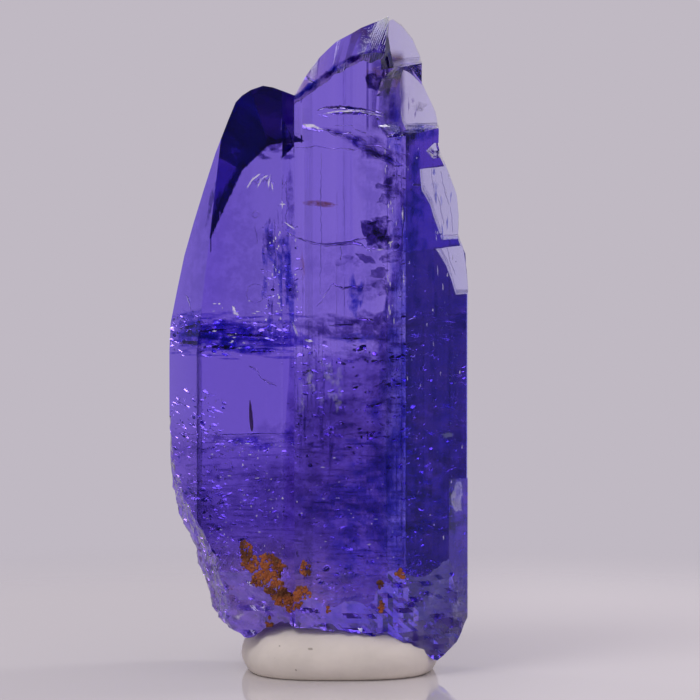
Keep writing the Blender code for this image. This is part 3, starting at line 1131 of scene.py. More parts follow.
# Fine cracks: points in the picture, depth, tilt, width across, upright
CRACKS = (
    (((318, 115), (327, 111), (348, 112), (366, 114), (378, 117)), 1.2, 27, 0.42, False),
    (((322, 133), (331, 134), (340, 137), (349, 136), (357, 140)), 2.2, 28, 0.20, False),
    (((327, 133), (335, 138), (345, 139), (352, 143), (361, 144), (368, 150)), 2.6, 27, 0.24, False),
    (((341, 137), (352, 143), (360, 151), (369, 153), (378, 160)), 1.9, 31, 0.22, False),
    (((352, 141), (363, 143), (371, 149), (382, 150), (392, 156)), 2.4, 33, 0.20, False),
    (((358, 147), (370, 151), (379, 158), (388, 160), (396, 166)), 1.6, 26, 0.22, False),
    (((366, 154), (376, 161), (386, 163), (395, 169), (401, 168)), 1.2, 29, 0.18, False),
    (((372, 147), (377, 156), (375, 163)), 1.8, 26, 0.12, True),
    (((338, 128), (352, 130), (368, 137), (381, 146)), 3.0, 24, 0.10, False),
    (((298, 151), (318, 149), (338, 152), (356, 151)), 3.0, 20, 0.14, False),
    (((342, 151), (352, 153), (362, 150)), 2.6, 20, 0.2, False),
    (((283, 232), (290, 237), (297, 240)), 0.8, 13.5, 0.26, False),
    (((297, 240), (310, 244), (325, 247), (338, 246), (352, 243), (371, 240)), 1.6, 24, 0.30, False),
    (((300, 240), (312, 245), (326, 248), (340, 246)), 1.2, 13.5, 0.26, False),
    (((328, 247), (340, 246), (352, 244), (362, 247), (372, 254)), 1.9, 30, 0.36, False),
    (((341, 248), (342, 256), (341, 263)), 1.4, 25, 0.16, True),
    (((317, 308), (324, 299), (330, 291)), 1.2, 25, 0.16, False),
    (((329, 290), (334, 286), (344, 290), (352, 288), (366, 290)), 1.5, 24, 0.26, False),
    (((303, 275), (303.5, 295), (304, 318)), 2.5, 28, 0.30, True),
    (((321, 157), (321.3, 220), (321, 296)), 0.4, 24, 0.06, True),
    (((402, 205), (402, 224), (401, 246)), 0.5, 16, 0.16, True),
    (((404, 262), (405, 285), (404, 296)), 0.8, 14, 0.12, True),
    (((256, 226), (257, 236), (258, 246)), 2.0, 20, 0.08, True),
    (((275, 222), (276, 250), (277, 280)), 1.2, 30, 0.16, True),
    (((284, 180), (285, 205), (284, 228)), 1.0, 30, 0.14, True),
    (((203, 436), (245, 435), (286, 434)), 3.0, 18, 0.16, False),
    (((250, 367), (258, 372), (262, 380)), 1.0, 28, 0.30, False),
    (((263, 380), (270, 384), (277, 386)), 1.2, 25, 0.24, False),
    (((187, 297), (191, 308), (194, 318)), 0.8, 30, 0.22, True),
    (((371, 79), (376, 84), (382, 88)), 1.0, 30, 0.14, False),
    (((385, 62), (386, 78), (385, 95)), 1.2, 30, 0.16, True),
    (((367, 82), (368, 90)), 1.0, 26, 0.14, True),
    # A few scratches and rings in the clear window
    (((249, 192), (252, 184), (257, 178), (260, 183)), 3.4, 13.5, 0.10, False),
    (((256, 187), (261, 179), (266, 177), (264, 184)), 3.4, 13.5, 0.12, False),
    (((264, 190), (268, 182), (272, 178), (271, 187)), 3.4, 13.8, 0.10, False),
    (((270, 193), (273, 187), (275, 184)), 3.4, 13.5, 0.09, False),
    (
        (
            (246, 295), (249, 288), (256, 285), (263, 288), (266, 295),
            (263, 302), (256, 305), (249, 302), (246.5, 296),
        ),
        1.0, 27, 0.035, False,
    ),
    (((252, 217), (256, 213), (260, 217), (256, 221), (252.5, 218)), 1.0, 27, 0.03, False),
    (((279, 207), (283, 207), (287, 206)), 3.6, 13.5, 0.20, False),
    (((283, 203), (283, 207), (283, 212)), 3.6, 13.5, 0.10, False),
    # Highlights in the thin plates
    (((421, 103), (419, 107), (417, 112)), 0.25, 14, 0.10, False),
    (((432, 168), (433, 186), (436, 204)), 0.25, 14, 0.05, True),
    (((441, 172), (445, 190), (449, 206)), 0.30, 20, 0.05, True),
    (((438, 196), (441, 210), (444, 226)), 0.30, 16, 0.06, True),
    (((450, 206), (452, 220), (453, 233)), 0.25, 22, 0.05, True),
    (((446, 246), (451, 262), (456, 276)), 0.20, 18, 0.04, True),
)

# Broad partings: picture point, depth, wide, deep, tilt, roll, turn, bend
PARTINGS = (
    # The dark stack across the smaller individual
    ((212, 331), 3.2, 0.80, 0.16, 24, 5, 8, -0.04),
    ((246, 337), 3.0, 0.95, 0.20, 25, -3, -6, 0.04),
    ((224, 349), 3.8, 0.70, 0.22, 22, -1, 0, 0.02),
    ((262, 353), 2.2, 0.60, 0.12, 24, 3, 0, 0.02),
    ((236, 313), 3.2, 0.13, 0.10, 13.5, 3, 0, 0.0),
    ((238, 318), 3.4, 0.08, 0.16, 13.5, 20, 0, 0.0),
    ((206, 325), 3.2, 0.12, 0.08, 13.5, -12, 0, 0.0),
    ((262, 347), 3.6, 0.20, 0.06, 13.5, 6, 0, 0.0),
    # White flashes near the top: an arc, and a patch at the left end of the chain
    ((325, 118.5), 5.2, 0.30, 0.13, 13.8, -16, 0, 0.0),
    ((335, 116.5), 5.0, 0.34, 0.15, 13.8, -8, 0, 0.0),
    ((346, 115.5), 4.8, 0.36, 0.16, 13.8, -2, 0, 0.0),
    ((354, 115.6), 4.8, 0.15, 0.20, 14.2, 24, 0, 0.0),
    ((361, 116.2), 4.8, 0.15, 0.20, 14.2, 24, 0, 0.0),
    ((367, 117.0), 4.6, 0.15, 0.18, 14.2, 24, 0, 0.0),
    ((373, 118.0), 4.6, 0.14, 0.16, 14.2, 26, 0, 0.0),
    ((379, 119.4), 4.6, 0.12, 0.14, 14.2, 26, 0, 0.0),
    ((306, 129), 6.2, 0.12, 0.34, 14.3, -25, 0, 0.0),
    ((311, 130.5), 6.2, 0.12, 0.34, 14.3, -25, 0, 0.0),
    ((316, 131.8), 6.2, 0.10, 0.26, 14.3, -20, 0, 0.0),
    ((321, 133), 6.2, 0.12, 0.16, 13.8, 6, 0, 0.0),
    ((256, 184), 4.0, 0.20, 0.06, 13.8, -30, 0, 0.0),
    ((266, 182), 4.0, 0.16, 0.07, 13.8, -20, 0, 0.0),
    ((272, 184), 4.0, 0.10, 0.10, 13.8, 10, 0, 0.0),
    ((283, 207), 3.6, 0.10, 0.14, 13.8, 0, 0, 0.0),
    ((291, 229), 3.4, 0.16, 0.06, 13.8, 20, 0, 0.0),
    ((374, 250), 3.4, 0.12, 0.08, 13.8, 10, 0, 0.0),
    ((248, 443), 3.2, 0.34, 0.10, 13.6, 8, 0, 0.0),
    ((257, 447), 3.0, 0.20, 0.08, 13.6, -8, 0, 0.0),
    ((236, 446), 3.0, 0.14, 0.08, 13.6, 12, 0, 0.0),
    # Over the cloudy part
    ((342, 327), 3.0, 0.60, 0.12, 21, 2, 0, 0.02),
    ((366, 321), 2.0, 0.40, 0.14, 26, -6, 0, 0.0),
    ((309, 341), 3.4, 0.24, 0.12, 13.5, -3, 0, 0.0),
    ((352, 340), 3.2, 0.50, 0.12, 23, -2, 0, 0.02),
    # In the blue side
    ((416, 188), 0.5, 0.26, 0.20, 13.5, -6, 0, 0.0),
    ((426, 355), 0.6, 0.16, 0.08, 13.5, 24, 0, 0.0),
    ((443, 438), 0.4, 0.26, 0.12, 13.5, 8, 0, 0.0),
    ((455, 451), 0.5, 0.10, 0.14, 13.5, -30, 0, 0.0),
)


def build_cracks():
    s = settings("cracks")
    gap = s.gap / MM
    bm = bmesh.new()
    for k, (path, depth, tilt, width, upright) in enumerate(CRACKS):
        crack(bm, [seen(px, py, depth) for px, py in path], tilt, width, gap, upright, k * 1.7)
    for k, ((px, py), depth, wide, deep, tilt, roll, turn, bend) in enumerate(PARTINGS):
        parting(bm, seen(px, py, depth), wide, deep, tilt, roll, turn, bend, 0.6 * gap, k * 2.3)
    cracks = finish_mesh("sealed_cracks", bm, air_material(), smooth=True)
    return rides(cracks)


# Small partings: how many, picture area, depth and size ranges
FLAKES = (
    (0.16, (203, 436, 402, 600), (0.5, 6.5), (0.04, 0.20)),
    (0.08, (203, 436, 290, 560), (0.4, 3.0), (0.03, 0.16)),
    (0.12, (292, 345, 402, 440), (0.5, 6.5), (0.04, 0.24)),
    (0.13, (406, 250, 464, 610), (0.3, 3.0), (0.04, 0.18)),
    (0.08, (178, 318, 286, 357), (0.8, 6.0), (0.05, 0.26)),
    (0.09, (262, 225, 300, 330), (0.6, 5.0), (0.03, 0.16)),
    (0.16, (173, 390, 225, 610), (0.2, 3.5), (0.04, 0.24)),
    (0.14, (215, 560, 330, 640), (0.2, 3.0), (0.04, 0.24)),
    (0.10, (395, 560, 460, 655), (0.2, 2.5), (0.04, 0.20)),
    (0.05, (378, 60, 404, 300), (0.3, 3.2), (0.03, 0.12)),
    (0.05, (286, 330, 300, 470), (0.3, 4.5), (0.03, 0.16)),
    (0.02, (335, 565, 360, 590), (0.2, 1.5), (0.03, 0.12)),
)
# Share of the flakes that lean so that they flash
FLASHING = 0.92


def flake_seeds(count, seed):
    """Where the small flakes sit, how they lie and how big they are, in metres."""
    rnd = random.Random(seed)
    crystal = bpy.data.objects["tanzanite"]
    found = []
    for part, (x0, y0, x1, y1), depth, sizes in FLAKES:
        for k in range(int(part * count)):
            px, py, away = rnd.uniform(x0, x1), rnd.uniform(y0, y1), rnd.uniform(*depth)
            low, high = sizes
            size = low + (high - low) * rnd.random() ** 3
            kind = rnd.random()
            if kind < FLASHING:
                turn = (math.radians(rnd.gauss(13.5, 2.4)), rnd.gauss(0, 0.10), rnd.gauss(0, 0.4))
            else:
                turn = (rnd.gauss(0.1, 0.8), rnd.gauss(0, 0.8), rnd.uniform(0, 6.28))
                size *= 0.5
            place = seen(px, py, away)
            if inside(crystal, place, 0.5 * size + 0.03):
                shape = (0.7, 1.6, 0.05) if kind < FLASHING else (1.0, 0.6, 0.06)
                found.append((tuple(place * MM), turn, tuple(size * share * MM for share in shape)))
    return found


def scatter_tree(shape):
    """Puts a lens or a lumpy grain on each point, turned and sized by its attributes."""
    tree = bpy.data.node_groups.new(shape, "GeometryNodeTree")
    face = tree.interface
    face.new_socket("Geometry", in_out="INPUT", socket_type="NodeSocketGeometry")
    lumps = face.new_socket("Lumps", in_out="INPUT", socket_type="NodeSocketFloat")
    lumps.default_value = 0.9 if shape == "grain" else 0.7
    face.new_socket("Material", in_out="INPUT", socket_type="NodeSocketMaterial")
    face.new_socket("Geometry", in_out="OUTPUT", socket_type="NodeSocketGeometry")
    add = tree.nodes.new
    link = tree.links.new
    start, end = add("NodeGroupInput"), add("NodeGroupOutput")
    segments, rings = (9, 4) if shape == "lens" else (7, 5)
    form = add("GeometryNodeMeshUVSphere")
    form.inputs["Segments"].default_value = segments
    form.inputs["Rings"].default_value = rings
    form.inputs["Radius"].default_value = 1.0
    pushed = add("GeometryNodeSetPosition")
    field = add("ShaderNodeTexNoise")
    field.inputs["Scale"].default_value = 1.4 if shape == "grain" else 1.0
    centred = add("ShaderNodeVectorMath")
    centred.operation = "SUBTRACT"
    centred.inputs[1].default_value = (0.5, 0.5, 0.5)
    amount = add("ShaderNodeVectorMath")
    amount.operation = "SCALE"
    link(field.outputs["Color"], centred.inputs[0])
    link(centred.outputs[0], amount.inputs[0])
    link(start.outputs["Lumps"], amount.inputs["Scale"])
    link(form.outputs["Mesh"], pushed.inputs["Geometry"])
    link(amount.outputs[0], pushed.inputs["Offset"])
    dots = add("GeometryNodeMeshToPoints")
    place = add("GeometryNodeInstanceOnPoints")
    real = add("GeometryNodeRealizeInstances")
    paint = add("GeometryNodeSetMaterial")
    link(start.outputs["Geometry"], dots.inputs["Mesh"])
    link(dots.outputs[0], place.inputs["Points"])
    link(pushed.outputs[0], place.inputs["Instance"])
    for name, socket in (("turn", "Rotation"), ("size", "Scale")):
        attribute = add("GeometryNodeInputNamedAttribute")
        attribute.data_type = "FLOAT_VECTOR"
        attribute.inputs["Name"].default_value = name
        link(attribute.outputs["Attribute"], place.inputs[socket])
    link(place.outputs[0], real.inputs[0])
    link(real.outputs[0], paint.inputs["Geometry"])
    link(start.outputs["Material"], paint.inputs["Material"])
    link(paint.outputs[0], end.inputs[0])
    return tree


def grown(name, points, tree, material):
    """A plain mesh from points with a turn and a size each, through a node tree."""
    mesh = bpy.data.meshes.new(name)
    mesh.from_pydata([p for p, _, _ in points], [], [])
    turns = mesh.attributes.new("turn", "FLOAT_VECTOR", "POINT")
    sizes = mesh.attributes.new("size", "FLOAT_VECTOR", "POINT")
    for k, (_, turn, size) in enumerate(points):
        turns.data[k].vector = turn
        sizes.data[k].vector = size
    obj = new_object(name, mesh)
    modifier = obj.modifiers.new(name, "NODES")
    modifier.node_group = tree
    for item in tree.interface.items_tree:
        if item.item_type == "SOCKET" and item.in_out == "INPUT" and item.name == "Material":
            modifier[item.identifier] = material
    plain_mesh(obj)
    return obj


def build_flakes():
    s = settings("cracks")
    points = flake_seeds(s.flakes, s.seed)
    air = air_material("flake_air", 0.03, 1800.0, 0.2)
    flakes = grown("foot_flakes", points, scatter_tree("lens"), air)
    return rides(flakes)


# Films in and on the stone, some stained, some painted shade, some painted highlights:
# kind, centre in the picture, half width, half height, turn in degrees, depth, strength
VEILS = (
    # Painted shade along the ragged lower edge of the dark cap
    ("violet", (276, 146), 22, 6, 12, 1.5, 0.8),
    ("violet", (258, 154), 14, 5, 30, 1.5, 0.7),
    ("violet", (243, 168), 11, 4, 55, 1.5, 0.65),
    ("violet", (232, 186), 12, 4, 64, 1.4, 0.6),
    ("violet", (219, 207), 22, 5, 74, 1.0, 0.7),
    # Beside the groove
    ("blue", (276, 262), 8, 30, 10, 2.0, 0.55),
    ("blue", (283, 296), 6, 30, 6, 2.2, 0.6),
    ("blue", (284, 264), 4, 30, 0, 1.2, 0.5),
    ("violet", (272, 246), 8, 16, 20, 1.8, 0.6),
    ("violet", (291, 205), 5, 40, 0, 1.0, 0.45),
    ("violet", (291, 292), 9, 12, 30, 1.2, 0.5),
    # The dark stack
    ("indigo", (240, 336), 60, 13, 0, 3.0, 0.80),
    ("indigo", (228, 330), 46, 7, -3, 2.4, 0.75),
    ("blue", (227, 345), 17, 8, 3, 1.6, 0.9),
    ("blue", (228, 346), 12, 5, 3, 1.4, 0.8),
    ("blue", (246, 349), 36, 5, 2, 2.0, 0.8),
    ("indigo", (206, 340), 26, 9, 4, 2.6, 0.7),
    ("indigo", (262, 352), 30, 5, -2, 2.0, 0.75),
    ("indigo", (280, 342), 28, 8, -6, 2.4, 0.7),
    ("indigo", (192, 322), 16, 8, -30, 1.2, 0.5),
    ("violet", (345, 330), 56, 14, 0, 3.0, 0.65),
    ("violet", (372, 322), 30, 11, 6, 1.5, 0.7),
    ("indigo", (218, 325), 30, 4, 6, 1.8, 0.7),
    ("indigo", (250, 343), 30, 5, -4, 1.6, 0.7),
    ("blue", (212, 336), 18, 5, -5, 1.4, 0.7),
    ("violet", (330, 320), 36, 5, -3, 1.6, 0.5),
    ("violet", (384, 340), 18, 9, 0, 1.2, 0.5),
    ("blue", (354, 339), 26, 6, 0, 2.4, 0.6),
    ("indigo", (302, 340), 22, 7, -6, 2.0, 0.5),
    # Dark leaves and smudges in the broad face: fractures, whose darkness is painted shade
    ("leaf", (369, 230), 10, 9, -38, 1.0, 0.85),
    ("leaf", (380, 225), 12, 6, 12, 1.2, 0.8),
    ("leaf", (377, 240), 13, 9, 55, 1.1, 0.85),
    ("leaf", (388, 246), 12, 9, 40, 1.0, 0.8),
    ("leaf", (391, 259), 10, 6, 15, 0.9, 0.7),
    ("leaf", (381, 237), 8, 6, -20, 0.8, 0.8),
    ("leaf", (384, 191), 10, 4, -8, 1.0, 0.6),
    ("leaf", (386, 202), 9, 5, 20, 1.0, 0.65),
    ("leaf", (391, 183), 7, 3.5, 30, 1.0, 0.6),
    ("leaf", (366, 261), 10, 4, -30, 1.0, 0.6),
    ("leaf", (378, 275), 10, 6, 20, 1.0, 0.6),
    ("leaf", (383, 290), 12, 7, -10, 1.0, 0.5),
    ("leaf", (345, 262), 8, 4, 24, 1.0, 0.4),
    # The ragged chain of cracks
    ("violet", (348, 139), 26, 5, -14, 1.6, 0.55),
    ("indigo", (340, 137), 16, 2.5, -14, 1.6, 0.6),
    ("indigo", (358, 146), 14, 5, -30, 1.5, 0.8),
    ("leaf", (372, 154), 14, 5, -34, 1.4, 0.5),
    ("leaf", (382, 160), 12, 5, -24, 1.3, 0.4),
    ("indigo", (391, 164), 11, 5, -34, 1.2, 0.8),
    ("violet", (374, 152), 34, 13, -28, 1.4, 0.75),
    ("leaf", (352, 117), 26, 1.5, 0, 2.2, 0.8),
    # Painted shade: dark films over the ragged band under the slanting facets
    ("blue", (300, 100), 10, 3.2, 38, 0.3, 1.0),
    ("blue", (313, 90), 12, 4.0, 36, 0.3, 1.0),
    ("violet", (327, 81), 13, 4.5, 32, 0.3, 1.0),
    ("blue", (340, 72), 13, 4.5, 33, 0.3, 1.0),
    ("violet", (354, 64), 12, 4.0, 24, 0.3, 1.0),
    ("violet", (392, 182), 8, 28, 6, 0.9, 0.65),
    ("blue", (394, 130), 8, 38, 2, 0.8, 0.6),
    ("violet", (386, 110), 10, 30, 4, 0.8, 0.6),
    ("leaf", (386, 79), 4, 18, 2, 0.8, 0.95),
    ("leaf", (374, 86), 9, 7, -25, 0.8, 0.9),
    ("violet", (374, 84), 12, 9, -25, 0.9, 0.5),
    ("blue", (354, 298), 6, 20, 4, 1.6, 0.85),
    ("blue", (361, 296), 4, 14, -6, 1.5, 0.8),
    ("violet", (366, 292), 18, 12, 0, 1.4, 0.5),
    ("violet", (352, 262), 12, 4, -30, 1.4, 0.5),
    ("rust", (320, 206.5), 19, 3.0, -2, 0.8, 0.7),
    ("rust", (303, 268), 3, 18, 2, 1.0, 0.4),
    # The blue side
    ("blue", (416, 210), 9, 17, 8, 0.5, 0.9),
    ("blue", (421, 136), 17, 11, 0, 0.4, 0.6),
    ("blue", (414, 165), 9, 16, 6, 0.5, 0.5),
    ("blue", (412, 262), 8, 44, 0, 0.5, 0.4),
    ("blue", (428, 330), 22, 40, 0, 0.6, 0.2),
    ("blue", (444, 320), 18, 40, 0, 0.5, 0.15),
    ("blue", (444, 430), 18, 60, 0, 0.6, 0.2),
    ("blue", (430, 540), 22, 60, 0, 0.6, 0.2),
    # Over the edge between the broad face and the blue side
    ("blue", (396, 250), 9, 60, 0, 0.6, 0.3),
    ("violet", (392, 360), 14, 60, 0, 0.9, 0.24),
    ("violet", (386, 450), 22, 70, 0, 1.6, 0.21),
    ("violet", (394, 420), 10, 80, 0, 0.7, 0.24),
    ("violet", (390, 540), 16, 60, 0, 0.9, 0.17),
    ("violet", (384, 380), 20, 50, 0, 1.2, 0.3),
    ("violet", (402.5, 380), 3, 80, 0, 0.35, 0.3),
    ("violet", (402.5, 500), 3, 90, 0, 0.35, 0.3),
    # Milky patches; the one in the thin plate near the top is a painted sparkle
    ("haze", (347, 577), 10, 8, 0, 0.3, 0.5),
    ("haze", (457, 496), 8, 18, 0, -0.012, 0.09),
    ("haze", (457, 611), 7, 13, 0, -0.012, 0.10),
    ("haze", (237, 612), 7, 10, 20, 0.5, 0.35),
    ("haze", (447, 436), 7, 3, 4, 0.25, 0.6),
    ("haze", (420, 108), 8, 5, 0, 0.2, 0.3),
    # Milky films on the faces: partly real scratches, dust and bruises, partly painted highlights over the
    # white flashes, arcs and glints
    ("haze", (310, 130), 7, 2.2, -8, -0.012, 0.85),
    ("haze", (318, 132), 6, 1.2, -12, -0.012, 0.7),
    ("haze", (332, 116.8), 13, 1.0, 9, -0.012, 0.5),
    ("haze", (350, 115.6), 15, 1.3, 0, -0.012, 0.75),
    ("haze", (370, 118.2), 14, 0.9, -11, -0.012, 0.5),
    ("haze", (251, 186), 1.0, 8, -32, -0.012, 0.5),
    ("haze", (257, 180), 1.0, 7, -50, -0.012, 0.5),
    ("haze", (261, 185), 1.0, 8, -28, -0.012, 0.45),
    ("haze", (266, 180), 1.0, 7, -60, -0.012, 0.5),
    ("haze", (270, 184), 1.2, 8, -10, -0.012, 0.55),
    ("haze", (273, 190), 1.0, 6, 10, -0.012, 0.4),
    ("haze", (283, 207), 3.4, 1.0, 0, -0.012, 0.7),
    ("haze", (283, 207), 1.0, 4.5, 0, -0.012, 0.7),
    ("haze", (235, 311), 1.8, 4.5, 24, -0.012, 0.9),
    ("haze", (237, 315), 4, 1.6, -30, -0.012, 0.8),
    ("haze", (309, 342), 4.5, 1.4, -8, -0.012, 0.8),
    ("haze", (291, 229), 6, 0.9, -34, -0.012, 0.55),
    ("haze", (296, 331), 1.2, 12, 20, -0.012, 0.35),
    ("haze", (402, 218), 0.9, 8, 0, -0.012, 0.6),
    ("haze", (403, 280), 0.9, 9, 4, -0.012, 0.5),
    ("haze", (390, 245), 3, 1.2, 30, -0.012, 0.5),
    ("haze", (381, 252), 5, 0.8, 8, -0.012, 0.4),
    # Frayed lower edge of the window
    ("indigo", (246, 441), 22, 5, 0, 1.2, 0.8),
    ("indigo", (262, 447), 16, 4, 10, 1.0, 0.7),
    ("violet", (222, 438), 22, 3, 0, 1.2, 0.5),
    ("indigo", (290, 436), 8, 10, 0, 1.2, 0.5),
    # Broad faint films
    ("violet", (377, 190), 24, 90, 0, 3.0, 0.16),
    ("violet", (240, 260), 52, 80, 0, 3.0, 0.13),
    ("violet", (345, 275), 50, 46, 0, 3.2, 0.12),
    # Smooth indigo in the middle of the lower part
    ("blue", (362, 512), 58, 60, 0, 2.5, 0.5),
    ("violet", (330, 420), 40, 34, 0, 2.5, 0.3),
    ("violet", (300, 500), 60, 50, 0, 3.5, 0.35),
)
FILMS = {
    # What each kind lets through at full strength; the milky kind is a thin milky film instead, real
    # milkiness inside the stone and painted highlight on its faces. The dark leaves are painted shade.
    "leaf": (0.20, 0.11, 0.42),
    "indigo": (0.30, 0.19, 0.76),
    "haze": (0.90, 0.88, 1.0),
    "violet": (0.26, 0.17, 0.50),
    "blue": (0.20, 0.22, 0.72),
    "rust": (0.62, 0.34, 0.20),
}
# Groups of small soft films: kind, how many, picture area, half width, half height, depth
# and strength ranges
WISPS = (
    ("violet", 420, (200, 434, 402, 580), (5, 24), (0.4, 1.6), (0.6, 4.0), (0.08, 0.38)),
    ("violet", 120, (292, 330, 402, 450), (3, 12), (1.0, 4), (0.8, 3.0), (0.15, 0.45)),
    ("violet", 50, (289, 335, 334, 460), (0.8, 2.0), (14, 40), (0.5, 2.5), (0.15, 0.4)),
    ("blue", 100, (407, 305, 462, 610), (0.8, 4), (6, 44), (0.3, 0.9), (0.05, 0.3)),
    ("indigo", 60, (407, 300, 462, 610), (1, 8), (2, 12), (0.3, 0.9), (0.06, 0.25)),
    ("blue", 110, (330, 440, 404, 600), (3, 12), (1, 5), (0.8, 3.0), (0.12, 0.35)),
    ("blue", 50, (374, 320, 403, 570), (2, 8), (8, 36), (0.5, 2.0), (0.12, 0.35)),
    ("indigo", 90, (186, 314, 288, 360), (6, 24), (0.8, 2.4), (1.2, 4.0), (0.25, 0.8)),
    ("blue", 50, (264, 228, 298, 335), (1.5, 4), (4, 14), (0.8, 3.0), (0.3, 0.7)),
    ("violet", 30, (264, 215, 296, 330), (0.6, 1.6), (3, 12), (0.8, 3.0), (0.3, 0.7)),
    ("violet", 50, (190, 440, 230, 600), (3, 8), (1, 5), (0.4, 1.5), (0.15, 0.5)),
    # Painted shade along the lower edge of the dark cap
    ("violet", 26, (258, 136, 296, 164), (2, 9), (1, 4), (1.0, 2.0), (0.4, 0.9)),
    ("violet", 36, (386, 150, 403, 330), (1.5, 4), (4, 16), (0.3, 1.2), (0.2, 0.5)),
    ("blue", 44, (405, 150, 436, 305), (1.5, 5), (5, 20), (0.3, 0.8), (0.2, 0.6)),
    ("violet", 40, (205, 434, 402, 600), (8, 30), (5, 16), (1.5, 4.0), (0.05, 0.2)),
    ("blue", 12, (428, 165, 456, 240), (0.6, 1.6), (4, 14), (0.15, 0.4), (0.3, 0.7)),
    ("violet", 10, (406, 66, 430, 122), (0.6, 2.0), (3, 10), (0.15, 0.5), (0.2, 0.5)),
    # Painted highlights: milky films on the faces for glints, specks and lighter streaks
    ("haze", 60, (266, 228, 300, 335), (0.4, 0.9), (0.5, 2.6), (-0.012, -0.008), (0.3, 0.9)),
    ("haze", 26, (190, 300, 292, 358), (0.7, 3.4), (0.4, 0.9), (-0.012, -0.008), (0.25, 0.8)),
    ("haze", 34, (384, 150, 404, 330), (0.4, 0.8), (1.0, 5.0), (-0.012, -0.008), (0.2, 0.7)),
    ("haze", 26, (296, 366, 340, 412), (2.0, 5.0), (3.0, 9), (-0.012, -0.008), (0.03, 0.07)),
    ("haze", 60, (200, 436, 402, 560), (0.6, 3.0), (0.4, 0.9), (-0.012, -0.008), (0.1, 0.4)),
    ("haze", 60, (205, 440, 300, 620), (0.4, 1.0), (0.5, 1.4), (-0.012, -0.008), (0.2, 0.7)),
    ("haze", 30, (405, 150, 462, 600), (0.4, 0.9), (0.6, 3.0), (-0.012, -0.008), (0.2, 0.7)),
    ("haze", 14, (428, 165, 456, 290), (0.3, 0.6), (2.0, 7.0), (-0.012, -0.008), (0.4, 0.9)),
    # Milky films inside the stone
    ("haze", 90, (174, 395, 222, 600), (0.5, 1.8), (0.6, 2.2), (0.1, 0.8), (0.3, 0.9)),
    ("haze", 90, (205, 545, 300, 636), (0.4, 1.4), (0.8, 4.0), (0.1, 0.8), (0.25, 0.8)),
    ("haze", 60, (200, 436, 300, 480), (0.4, 2.4), (0.4, 1.4), (0.2, 1.0), (0.2, 0.7)),
    ("haze", 50, (205, 470, 400, 600), (0.4, 2.0), (0.4, 1.2), (0.2, 1.0), (0.1, 0.5)),
    ("haze", 40, (395, 590, 458, 655), (0.4, 1.4), (0.5, 1.6), (0.1, 0.5), (0.3, 0.9)),
    ("haze", 40, (406, 300, 462, 600), (0.4, 1.2), (0.4, 1.4), (0.15, 0.6), (0.15, 0.6)),
)


def film_material(kind):
    """A film which tints what is behind it: a stain, or painted shade; the milky kind also scatters white,
    as milkiness or as a painted highlight.
    """
    n = Nodes("film_" + kind)
    at = n.coords()
    strength = n.add("Attribute", attribute_name="strength").outputs["Fac"]
    ragged = n.span(n.noise(at, 1900.0, 5.0, 0.7), 0.38, 0.60, 0.15, 1.0)
    shader = n.add("BsdfTransparent")
    strength = n.product(strength, ragged)
    if kind != "haze":
        n.link(n.mix(strength, (1.0, 1.0, 1.0), FILMS[kind]), shader.inputs["Color"])
        return n.surface(shader)
    milk = n.add("BsdfDiffuse")
    milk.inputs["Color"].default_value = (*FILMS[kind], 1.0)
    return n.blended(strength, shader, milk)


def veil(bm, centre, wide, high, turn, depth, strength, seed, rim_amount=0.0):
    """A film that faces the viewer, sized in points of the picture. Its edge is soft, or
    crisp where rim_amount is near 1."""
    layer = bm.verts.layers.float["strength"]
    c, s = math.cos(math.radians(turn)), math.sin(math.radians(turn))
    turns = 18
    rings = ((1.0, rim_amount), (0.80, 0.5 + 0.6 * rim_amount), (0.55, 1.0), (0.28, 1.0))

    def point(share, k, side, amount):
        angle = 2 * math.pi * k / turns
        edge = 1 + 0.7 * noise.noise(Vector((1.9 * math.cos(angle), 1.9 * math.sin(angle), seed)))
        u = wide * share * edge * math.cos(angle)
        w = high * share * edge * math.sin(angle) * abs(math.sin(angle)) ** 0.5
        v = bm.verts.new(
            seen(centre[0] + c * u + s * w, centre[1] - s * u + c * w, depth + side, centre[0])
        )
        v[layer] = strength * amount
        return v

    rim = [point(1.0, k, 0.0, rim_amount) for k in range(turns)]
    for side in (-0.012, 0.012):
        loops = [rim] + [[point(r, k, side, a) for k in range(turns)] for r, a in rings[1:]]
        hub = point(0.0, 0, side, 1.0)
        for k in range(turns):
            n = (k + 1) % turns
            for outer, inner in zip(loops, loops[1:]):
                quad = (outer[k], outer[n], inner[n], inner[k])
                bm.faces.new(quad if side < 0 else tuple(reversed(quad)))
            fan = (loops[-1][k], loops[-1][n], hub)
            bm.faces.new(fan if side < 0 else tuple(reversed(fan)))


def inside(crystal, point, margin):
    """Whether a point in millimetres lies in the stone, at least `margin` from its faces."""
    _, near, normal, _ = crystal.closest_point_on_mesh(point * MM)
    away = point * MM - near
    if away.dot(normal) >= 0 or away.length <= margin * MM:
        return False
    for way in (Vector((-1.0, 0.02, 0.01)), Vector((0.02, 0.01, 1.0))):
        hit, _, facing, _ = crystal.ray_cast(point * MM, way)
        if not hit or facing.dot(way) < 0:
            return False
    return True


def lies_on(crystal, point):
    """Whether a point in millimetres is just over the stone's faces."""
    _, near, normal, _ = crystal.closest_point_on_mesh(point * MM)
    away = point * MM - near
    return away.dot(normal) > 0 and away.length < 0.035 * MM


